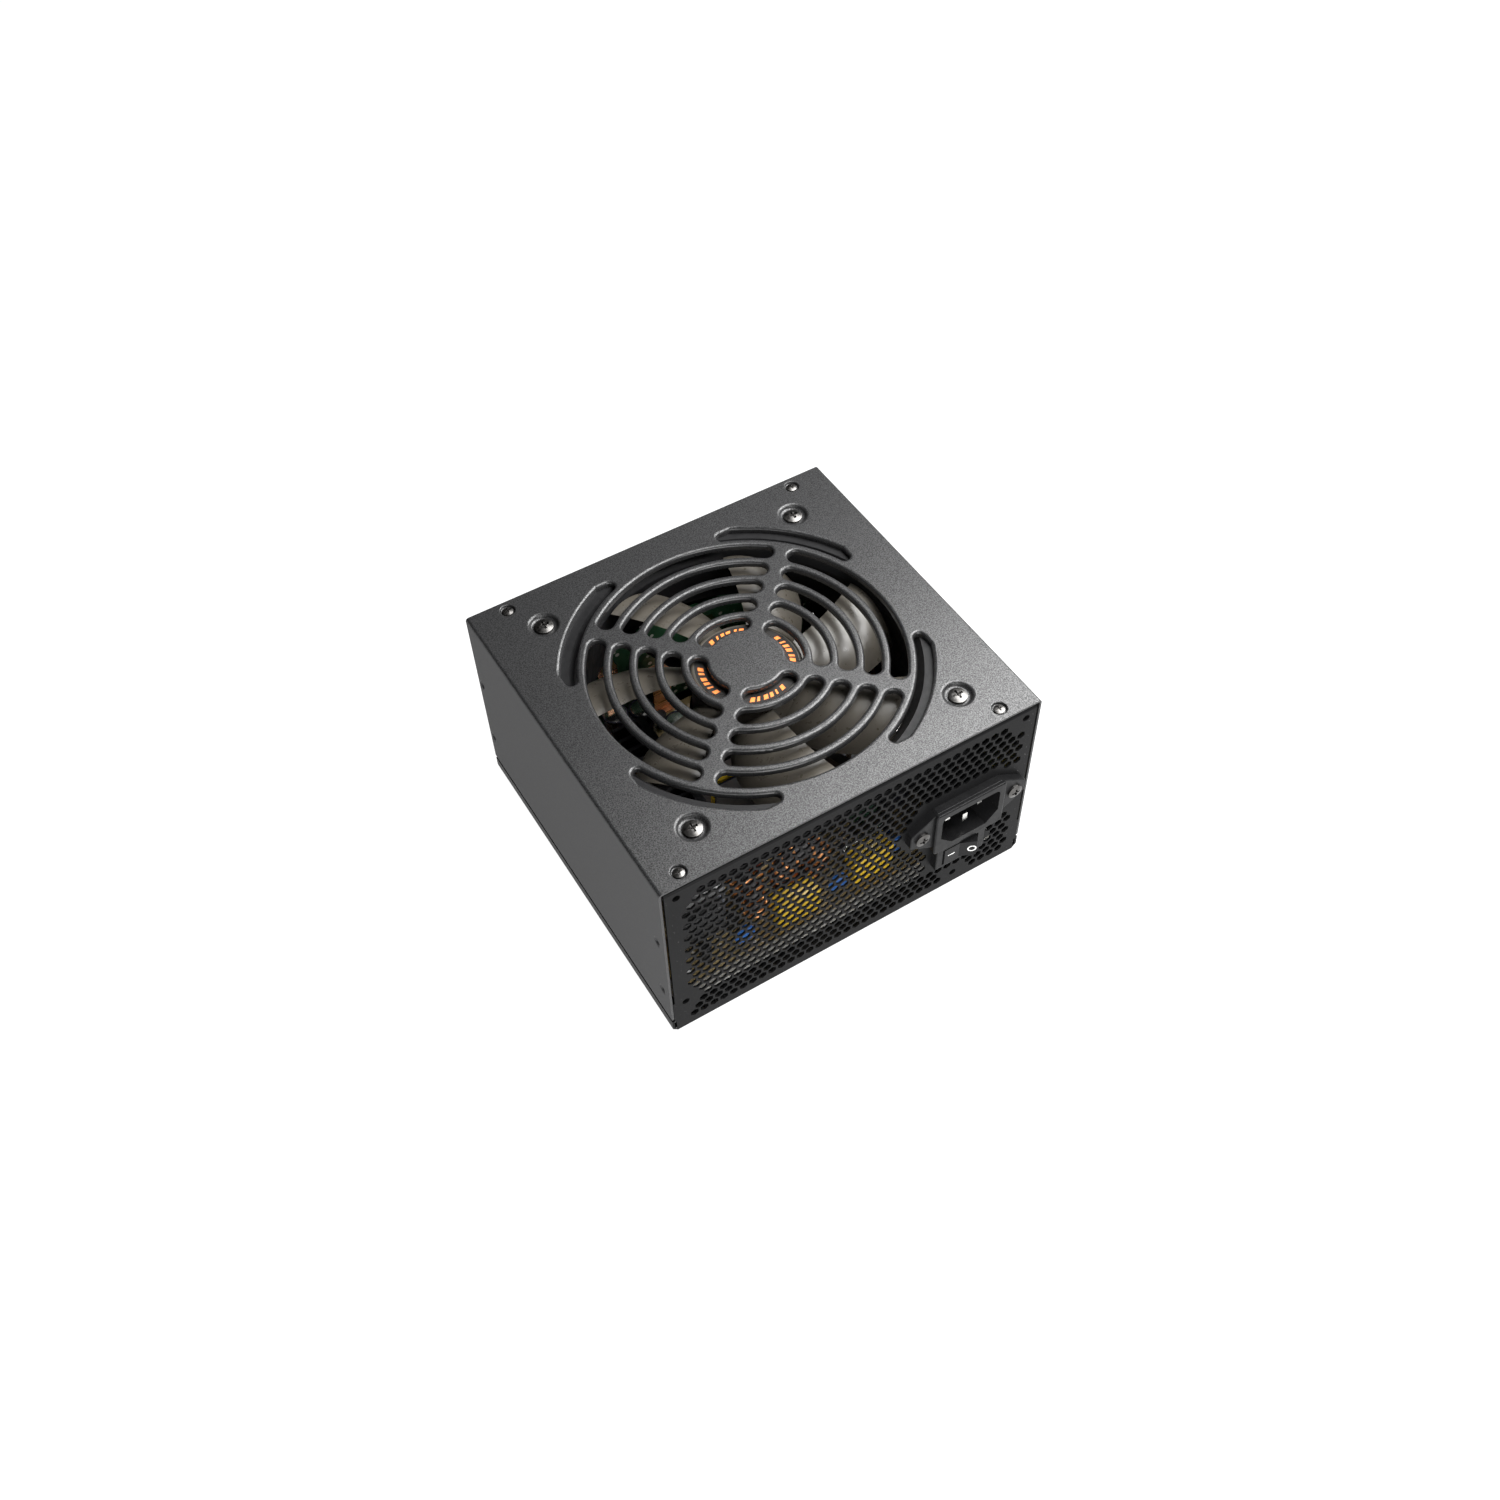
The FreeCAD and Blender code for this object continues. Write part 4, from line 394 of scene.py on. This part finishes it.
def dress_nodes():
    """Each CAD node takes the material of its slot in the record."""
    for part in frame["record"]["subparts"]:
        mesh = nodes[part["node"]].data
        mesh.materials.clear()
        mesh.materials.append(finish(part["material_slot"]))


# ---------------------------------------------------------------- mesh helpers
def islands(node):
    """A CAD node's separate solids as (centre, size), ordered by centre; a cavity's surface isn't one."""
    mesh = bmesh.new()
    mesh.from_mesh(nodes[node].data)
    bmesh.ops.remove_doubles(mesh, verts=mesh.verts, dist=0.001 * MM)
    left = set(mesh.verts)
    found = []
    while left:
        stack = [left.pop()]
        low, high = stack[0].co.copy(), stack[0].co.copy()
        while stack:
            vert = stack.pop()
            low = Vector(map(min, low, vert.co))
            high = Vector(map(max, high, vert.co))
            for edge in vert.link_edges:
                other = edge.other_vert(vert)
                if other in left:
                    left.remove(other)
                    stack.append(other)
        found.append((low, high))
    mesh.free()
    outer = [(low, high) for low, high in found
             if not any(all(a < c and d < b for a, b, c, d in zip(outer_low, outer_high, low, high))
                        for outer_low, outer_high in found)]
    return sorted((((low + high) / 2, high - low) for low, high in outer),
                  key=lambda solid: tuple(solid[0]))


def bake_mesh(mesh, name, smooth_below=40):
    """Turns an edit mesh into mesh data, smooth across edges that turn less than an angle."""
    data = bpy.data.meshes.new(name)
    bmesh.ops.recalc_face_normals(mesh, faces=mesh.faces)
    for face in mesh.faces:
        face.smooth = True
    for edge in mesh.edges:
        edge.smooth = len(edge.link_faces) == 2 and edge.calc_face_angle() < math.radians(smooth_below)
    mesh.to_mesh(data)
    mesh.free()
    return data


def add_block(mesh, centre, size, round_by, segments=2):
    """A box with rounded edges."""
    made_by = bmesh.ops.create_cube(mesh, size=1,
                                    matrix=Matrix.Translation(centre) @ Matrix.Diagonal((*size, 1)))
    edges = list({edge for vert in made_by["verts"] for edge in vert.link_edges})
    bmesh.ops.bevel(mesh, geom=edges, offset=min(round_by, min(size) * 0.45), segments=segments,
                    profile=0.5,
                    affect="EDGES")


def add_turned(mesh, centre, profile, axis="Z", steps=32):
    """A turned solid: profile is (radius, height) from the bottom of the axis to its top."""
    rings = []
    frame_of = {"X": Matrix.Rotation(math.pi / 2, 4, "Y"), "Y": Matrix.Rotation(-math.pi / 2, 4, "X"),
                "Z": Matrix.Identity(4)}[axis]
    place = Matrix.Translation(centre) @ frame_of
    for radius, height in profile:
        if radius < 1e-6:
            rings.append([mesh.verts.new(place @ Vector((0, 0, height)))])
            continue
        rings.append([mesh.verts.new(place @ Vector((radius * math.cos(math.tau * k / steps),
                                                     radius * math.sin(math.tau * k / steps), height)))
                      for k in range(steps)])
    for lower, upper in zip(rings, rings[1:]):
        for k in range(steps):
            corners = [lower[k % len(lower)], lower[(k + 1) % steps % len(lower)],
                       upper[(k + 1) % steps % len(upper)], upper[k % len(upper)]]
            corners = list(dict.fromkeys(corners))
            if len(corners) > 2:
                mesh.faces.new(corners)
    for ring in (rings[0], rings[-1]):
        if len(ring) > 2:
            mesh.faces.new(ring)


def add_rod(mesh, start, end, radius, steps=10):
    way = Vector(end) - Vector(start)
    middle = Matrix.Translation((Vector(start) + Vector(end)) / 2)
    place = middle @ way.to_track_quat("Z", "Y").to_matrix().to_4x4()
    bmesh.ops.create_cone(mesh, cap_ends=True, segments=steps, radius1=radius, radius2=radius,
                          depth=way.length,
                          matrix=place)


def add_wire(mesh, points, radius, sides=8):
    """A round wire swept through points, closed at both ends."""
    curve = bpy.data.curves.new("wire", "CURVE")
    curve.dimensions = "3D"
    curve.bevel_depth = radius
    curve.bevel_resolution = sides // 2 - 1
    curve.use_fill_caps = True
    spline = curve.splines.new("POLY")
    spline.points.add(len(points) - 1)
    for point, at in zip(spline.points, points):
        point.co = (*at, 1)
    holder = bpy.data.objects.new("wire", curve)
    swept = bpy.data.meshes.new_from_object(holder)
    mesh.from_mesh(swept)
    bpy.data.objects.remove(holder)
    bpy.data.curves.remove(curve)
    bpy.data.meshes.remove(swept)


def add_piece(name, mesh, slot, body="case", material=None, smooth_below=40, replaces=None):
    piece = bpy.data.objects.new(name, bake_mesh(mesh, name, smooth_below))
    bpy.context.scene.collection.objects.link(piece)
    piece.data.materials.append(material or finish(slot))
    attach(piece, body)
    if replaces:
        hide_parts(replaces)
    return piece


# ---------------------------------------------------------------- wound chokes
BOARD_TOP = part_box("main_board")[1].z


def winding(mesh, centre, normal, ring, core, wire, start, sweep, share):
    """One layer of turns round a ring, from angle start through sweep, with a lead down at each end.

    Angles are from straight down; share is how much of the inside of the ring the turns fill."""
    down = Vector((0, 0, -1))
    side = normal.cross(down)
    throw = core + wire / 2
    turns = int(abs(sweep) * (ring - throw) / wire * share)
    steps = turns * 14
    points = []
    for k in range(steps + 1):
        around = start + sweep * k / steps
        out = down * math.cos(around) + side * math.sin(around)
        phase = math.tau * k / 14
        points.append(centre + out * (ring + throw * math.cos(phase)) + normal * throw * math.sin(phase))
    for end, order in ((points[0], 0), (points[-1], -1)):
        foot = Vector((end.x, end.y, BOARD_TOP))
        if order == 0:
            points.insert(0, foot)
        elif end.z > centre.z:
            face = normal * (throw + wire)
            points += [end + face, Vector((end.x + face.x, end.y + face.y, BOARD_TOP))]
        else:
            points.append(foot)
    add_wire(mesh, points, wire / 2 * 0.96)


def add_chokes():
    for node, core_node, windings in (("line_choke_windings", "line_choke_cores", 2),
                                      ("pfc_choke_winding", "pfc_choke_core", 1),
                                      ("output_choke_winding", "output_choke_core", 1)):
        mesh = bmesh.new()
        for (centre, coat), (_, core) in zip(islands(node), islands(core_node)):
            normal = Vector((1, 0, 0)) if coat.x < coat.y else Vector((0, 1, 0))
            outer, half = coat.z / 2, min(coat.x, coat.y) / 2
            core_half = min(core.x, core.y) / 2
            wire = half - core_half
            if windings == 1:
                winding(mesh, centre, normal, outer - half, core_half, wire, 0.35, math.tau - 0.7, 0.96)
            else:
                winding(mesh, centre, normal, outer - half, core_half, wire, 0.30, 2.55, 0.96)
                winding(mesh, centre, normal, outer - half, core_half, wire, -0.30, -2.55, 0.96)
        add_piece(node + "_turns", mesh, "enamel_copper", smooth_below=70, replaces=node)


# ---------------------------------------------------------------- marks printed on the moving pieces
def add_hub_marks():
    """Four groups of plain slanted dashes printed near the label's edge."""
    centre, size = span("fan_hub_label")
    level = centre.z + size.z / 2
    inner, outer = 15.3 * MM, 17.3 * MM
    foot, thick = Vector((0, 0, level - 0.05 * MM)), Vector((0, 0, 0.08 * MM))
    mesh = bmesh.new()
    for group in range(4):
        for k in range(6):
            start = math.radians(90 * group + 62 + 8.4 * k)
            width = math.radians((5.6, 3.4, 5.6, 4.4, 2.6, 5.6)[k])
            lean = math.radians(2.2)
            ring = [(inner, start + lean), (inner, start + width + lean), (outer, start + width),
                    (outer, start)]
            low = [mesh.verts.new(foot + Vector((r * math.cos(a), r * math.sin(a), 0))) for r, a in ring]
            high = [mesh.verts.new(vert.co + thick) for vert in low]
            mesh.faces.new(low)
            mesh.faces.new(high)
            for i in range(4):
                mesh.faces.new([low[i - 1], low[i], high[i], high[i - 1]])
    ink = grained("orange_ink", (0.86, 0.22, 0.035), 0.45, grain=2500, depth=0.004, tint=0.08)
    add_piece("hub_label_dashes", mesh, "hub_label_film", "rotor", ink)


def add_rocker_marks():
    """A dash and a ring of white ink, laid onto the rocker's two facets."""
    rocker = nodes["rocker"]
    tree = BVHTree.FromObject(rocker, bpy.context.evaluated_depsgraph_get())
    centre, size = span("rocker")
    front = centre.y - size.y

    def laid(x, z):
        spot, normal, _, _ = tree.ray_cast(Vector((x, front, z)), Vector((0, 1, 0)))
        return spot + normal * 0.03 * MM

    mesh = bmesh.new()
    dash_x, ring_x = centre.x - size.x * 0.27, centre.x + size.x * 0.25
    level = centre.z
    corners = ((-1.45, -0.25), (1.45, -0.25), (1.45, 0.25), (-1.45, 0.25))
    mesh.faces.new([mesh.verts.new(laid(dash_x + u * MM, level + v * MM)) for u, v in corners])
    steps = 40
    rings = [[mesh.verts.new(laid(ring_x + r * 0.95 * math.cos(math.tau * k / steps) * MM,
                                  level + r * math.sin(math.tau * k / steps) * MM)) for k in range(steps)]
             for r in (1.15, 1.65)]
    for k in range(steps):
        mesh.faces.new([rings[0][k], rings[1][k], rings[1][(k + 1) % steps], rings[0][(k + 1) % steps]])
    ink = grained("white_ink", (0.86, 0.86, 0.84), 0.5, grain=2500, depth=0.004, tint=0.04)
    add_piece("rocker_marks", mesh, "rocker_plastic", "switch_rocker", ink)


# ---------------------------------------------------------------- board parts
def add_packages():
    """Power packages: a moulded body and three legs down to the board, four on the wide ones."""
    for node, slot in (("output_rectifiers", "chip_black"), ("primary_transistors", "chip_black"),
                       ("bridge_rectifier", "chip_black")):
        body, metal = bmesh.new(), bmesh.new()
        for centre, size in islands(node):
            add_block(body, centre, size, 0.5 * MM)
            along = Vector((0, 1, 0)) if size.x < size.y else Vector((1, 0, 0))
            wide = max(size.x, size.y)
            legs = 4 if wide > 15 * MM else 3
            for k in range(legs):
                at = centre + along * wide * 0.62 * (k / (legs - 1) - 0.5)
                low = centre.z - size.z / 2
                add_block(metal, Vector((at.x, at.y, (BOARD_TOP + low) / 2)),
                          (1 * MM, 1 * MM, low - BOARD_TOP + 0.4 * MM),
                          0.1 * MM, 1)
        add_piece(node + "_bodies", body, slot, replaces=node)
        add_piece(node + "_legs", metal, "bright_metal")


def add_boxed_capacitors():
    """Film capacitors: a moulded box on four small feet, with two wire legs below."""
    mesh, legs = bmesh.new(), bmesh.new()
    for centre, size in islands("filter_capacitors"):
        lift = 0.8 * MM
        add_block(mesh, centre + Vector((0, 0, lift / 2)), (size.x, size.y, size.z - lift), 0.7 * MM, 3)
        for i in (-1, 1):
            for j in (-1, 1):
                foot = centre + Vector((i * (size.x / 2 - 1.2 * MM), j * (size.y / 2 - 1.2 * MM),
                                        -size.z / 2 + lift / 2))
                add_block(mesh, foot, (1.6 * MM, 1.6 * MM, lift), 0.2 * MM, 1)
            add_rod(legs, centre + Vector((i * size.x * 0.36, 0, lift - size.z / 2)),
                    centre + Vector((i * size.x * 0.36, 0, -size.z / 2)), 0.4 * MM)
    add_piece("filter_capacitor_boxes", mesh, "yellow_box", replaces="filter_capacitors")
    add_piece("filter_capacitor_legs", legs, "bright_metal")


def add_discs():
    """Dipped discs on two wire legs, with the coating run a little down each leg."""
    for node, slot in (("ceramic_capacitors", "ceramic_blue"), ("thermistor", "thermistor_green")):
        mesh, legs = bmesh.new(), bmesh.new()
        for centre, size in islands(node):
            radius, half = size.z / 2, min(size.x, size.y) / 2
            profile = [(0, -half), (radius * 0.62, -half), (radius * 0.88, -half * 0.72), (radius, 0),
                       (radius * 0.88, half * 0.72), (radius * 0.62, half), (0, half)]
            add_turned(mesh, centre, profile, "Y", 36)
            for i in (-1, 1):
                top = centre + Vector((i * radius * 0.55, 0, -radius * 0.6))
                add_turned(mesh, Vector((top.x, top.y, centre.z - radius * 1.08)),
                           [(0.5 * MM, 0), (0.9 * MM, radius * 0.5), (0, radius * 0.5)], "Z", 12)
                add_rod(legs, top, Vector((top.x, top.y, BOARD_TOP)), 0.35 * MM)
        add_piece(node + "_discs", mesh, slot, replaces=node)
        add_piece(node + "_legs", legs, "bright_metal")


def add_can_details():
    """Aluminium tops with a pressed cross, and the pale stripe down each sleeve."""
    tops, stripes = bmesh.new(), bmesh.new()
    for node in ("bulk_capacitor", "output_capacitors"):
        for centre, size in islands(node):
            radius, top = size.x / 2, centre.z + size.z / 2
            inner = radius * 0.84
            add_turned(tops, Vector((centre.x, centre.y, top)),
                       [(inner, -0.2 * MM), (inner, 0.04 * MM), (inner * 0.96, 0.09 * MM), (0, 0.09 * MM)],
                       "Z", 40)
            for k in range(2):
                size_of = (inner * 1.5, 0.35 * MM, 0.06 * MM) if k else (0.35 * MM, inner * 1.5, 0.06 * MM)
                add_block(tops, Vector((centre.x, centre.y, top + 0.11 * MM)), size_of, 0.02 * MM, 1)
            foot, crown = centre.z - size.z / 2 + max(4.2 * MM, size.z * 0.15), top - 0.8 * MM
            turn, spread = math.radians(200), math.radians(26)
            columns = 8
            strip = []
            for k in range(columns + 1):
                angle = turn - spread + 2 * spread * k / columns
                out = Vector((math.cos(angle), math.sin(angle), 0)) * (radius + 0.04 * MM)
                strip.append([stripes.verts.new(Vector((centre.x, centre.y, z)) + out)
                              for z in (foot, crown)])
            for first, second in zip(strip, strip[1:]):
                stripes.faces.new([first[0], second[0], second[1], first[1]])
    add_piece("can_tops", tops, "bright_metal")
    add_piece("can_stripes", stripes, "can_sleeve", material=grained(
        "sleeve_stripe", (0.45, 0.45, 0.47), 0.3, grain=500, depth=0.01))


def add_fuse():
    """A glass tube between two plated caps, held in spring clips."""
    centre, size = span("fuse")
    radius = size.z / 2
    cap = size.x * 0.19
    glass_tube, metal = bmesh.new(), bmesh.new()
    half = size.x / 2
    add_turned(glass_tube, centre, [(radius * 0.84, -half + cap * 0.6), (radius * 0.84, half - cap * 0.6)],
               "X")
    for side in (-1, 1):
        end = centre + Vector((side * (half - cap / 2), 0, 0))
        add_turned(metal, end,
                   [(radius * 0.6, -cap / 2), (radius * 0.98, -cap * 0.4), (radius * 0.98, cap * 0.4),
                                (radius * 0.6, cap / 2)], "X")
        add_block(metal, Vector((end.x, end.y, (BOARD_TOP + centre.z) / 2 - 0.6 * MM)),
                  (cap * 0.8, radius * 1.5, centre.z - BOARD_TOP - 1.2 * MM), 0.3 * MM)
    add_rod(metal, centre - Vector((half - cap, 0, 0)), centre + Vector((half - cap, 0, 0)), 0.15 * MM)
    add_piece("fuse_glass", glass_tube, "glass_clear", replaces="fuse")
    add_piece("fuse_caps", metal, "bright_metal")


def add_transformer(core, coil, tape_turns):
    """A taped winding that bulges between its bobbin's flanges, over two rows of pins."""
    wound, bobbin, pins = bmesh.new(), bmesh.new(), bmesh.new()
    centre, size = span(coil)
    _, core_size = span(core)
    reach = (size.y - core_size.y) / 2
    low = BOARD_TOP + 3.4 * MM
    high = centre.z + size.z / 2
    middle = Vector((centre.x, centre.y, (low + high) / 2))
    add_block(wound, middle, (size.x * 0.97, size.y - 2.4 * MM, high - low), 2.6 * MM, 4)
    for k in range(tape_turns):
        share = (k + 0.5) / tape_turns
        at = Vector((centre.x, centre.y, low + (high - low) * (0.12 + 0.76 * share)))
        add_block(wound, at, (size.x * 0.975, size.y - 2.0 * MM + (k % 2) * 0.3 * MM,
                              (high - low) * 0.55 / tape_turns), 1.0 * MM, 3)
    for side in (-1, 1):
        end_y = centre.y + side * (size.y / 2 - 0.6 * MM)
        add_block(bobbin, Vector((centre.x, end_y, (low + high) / 2)), (size.x, 1.2 * MM, high - low),
                  0.4 * MM)
        rail_y = centre.y + side * (core_size.y / 2 + reach * 0.55)
        add_block(bobbin, Vector((centre.x, rail_y, BOARD_TOP + 1.9 * MM)),
                  (size.x * 0.86, reach * 0.85, 3.4 * MM), 0.4 * MM)
        for k in range(6):
            at_x = centre.x + size.x * 0.36 * (k / 2.5 - 1)
            add_rod(pins, (at_x, rail_y, BOARD_TOP + 1 * MM), (at_x, rail_y, BOARD_TOP), 0.45 * MM)
    add_piece(coil + "_taped", wound, "yellow_tape", replaces=coil)
    add_piece(coil + "_bobbin", bobbin, "chip_black")
    add_piece(coil + "_pins", pins, "bright_metal")


def add_small_parts():
    """The small parts of the main board: resistors, diodes, little cans and film boxes, in free places."""
    draw = random.Random(7)
    taken = [(name, *span(name)) for name in nodes]
    low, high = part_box("main_board")
    busy = [(at, size) for name, at, size in taken
            if name not in ("main_board", "insulation_sheet", "chassis", "top_cover", "fan_lead")
            and at.z - size.z / 2 < BOARD_TOP + 8 * MM]
    solids = []
    for name, at, size in taken:
        if (at, size) in busy:
            solids += islands(name)
    beige, dark, metal, red = bmesh.new(), bmesh.new(), bmesh.new(), bmesh.new()
    placed = []
    for _ in range(900):
        if len(placed) >= 70:
            break
        long_x = draw.random() < 0.5
        kind = draw.choice(("resistor", "resistor", "diode", "film", "disc"))
        length = {"resistor": 9, "diode": 8, "film": 7, "disc": 6}[kind] * MM
        along, across = length / 2 + 1 * MM, 2.4 * MM
        reach = Vector((along, across, 0)) if long_x else Vector((across, along, 0))
        spot = Vector((draw.uniform(low.x + 6 * MM, high.x - 6 * MM),
                       draw.uniform(low.y + 5 * MM, high.y - 5 * MM), BOARD_TOP))
        clash = any(abs(spot.x - at.x) < size.x / 2 + reach.x and abs(spot.y - at.y) < size.y / 2 + reach.y
                    for at, size in solids)
        clash = clash or any(abs(spot.x - at.x) < wide.x + reach.x and abs(spot.y - at.y) < wide.y + reach.y
                             for at, wide in placed)
        if clash:
            continue
        placed.append((spot, reach))
        axis = Vector((1, 0, 0)) if long_x else Vector((0, 1, 0))
        lift = Vector((0, 0, 1.7 * MM))
        ends = [spot + lift - axis * length / 2, spot + lift + axis * length / 2]
        if kind in ("resistor", "diode"):
            half, thick = length * 0.30, (1.2 if kind == "resistor" else 1.35) * MM
            profile = [(0, -half), (thick * 0.9, -half), (thick * 1.08, -half * 0.8),
                       (thick * 0.86, -half * 0.45),
                       (thick * 0.86, half * 0.45), (thick * 1.08, half * 0.8), (thick * 0.9, half),
                       (0, half)]
            if kind == "diode":
                profile = [(0, -half), (thick, -half), (thick, half), (0, half)]
            add_turned(beige if kind == "resistor" else dark, spot + lift, profile, "X" if long_x else "Y",
                       14)
            feet = [Vector((end.x, end.y, BOARD_TOP)) for end in ends]
            add_wire(metal, [feet[0], ends[0], ends[1], feet[1]], 0.3 * MM, 6)
        elif kind == "film":
            add_block(red, spot + Vector((0, 0, 3.4 * MM)),
                      (length, 3 * MM, 6 * MM) if long_x else (3 * MM, length, 6 * MM),
                      0.8 * MM, 3)
        else:
            add_turned(dark, spot + Vector((0, 0, 0.1 * MM)),
                       [(2.2 * MM, 0), (2.2 * MM, 7.2 * MM), (1.9 * MM, 7.5 * MM), (0, 7.5 * MM)], "Z", 20)
    add_piece("board_resistors", beige, "circuit_board",
              material=grained("resistor_body", (0.52, 0.40, 0.24), 0.4, grain=900, depth=0.02))
    add_piece("board_dark_parts", dark, "chip_black")
    add_piece("board_leads", metal, "bright_metal")
    add_piece("board_film_parts", red, "yellow_box",
              material=grained("film_red", (0.34, 0.05, 0.025), 0.3, grain=900, depth=0.03))


# ---------------------------------------------------------------- the scene
add_camera()
add_studio()
dress_nodes()
add_chokes()
add_hub_marks()
add_rocker_marks()
add_packages()
add_boxed_capacitors()
add_discs()
add_can_details()
add_fuse()
add_transformer("transformer_core", "transformer_winding", 3)
add_transformer("standby_core", "standby_winding", 2)
add_small_parts()
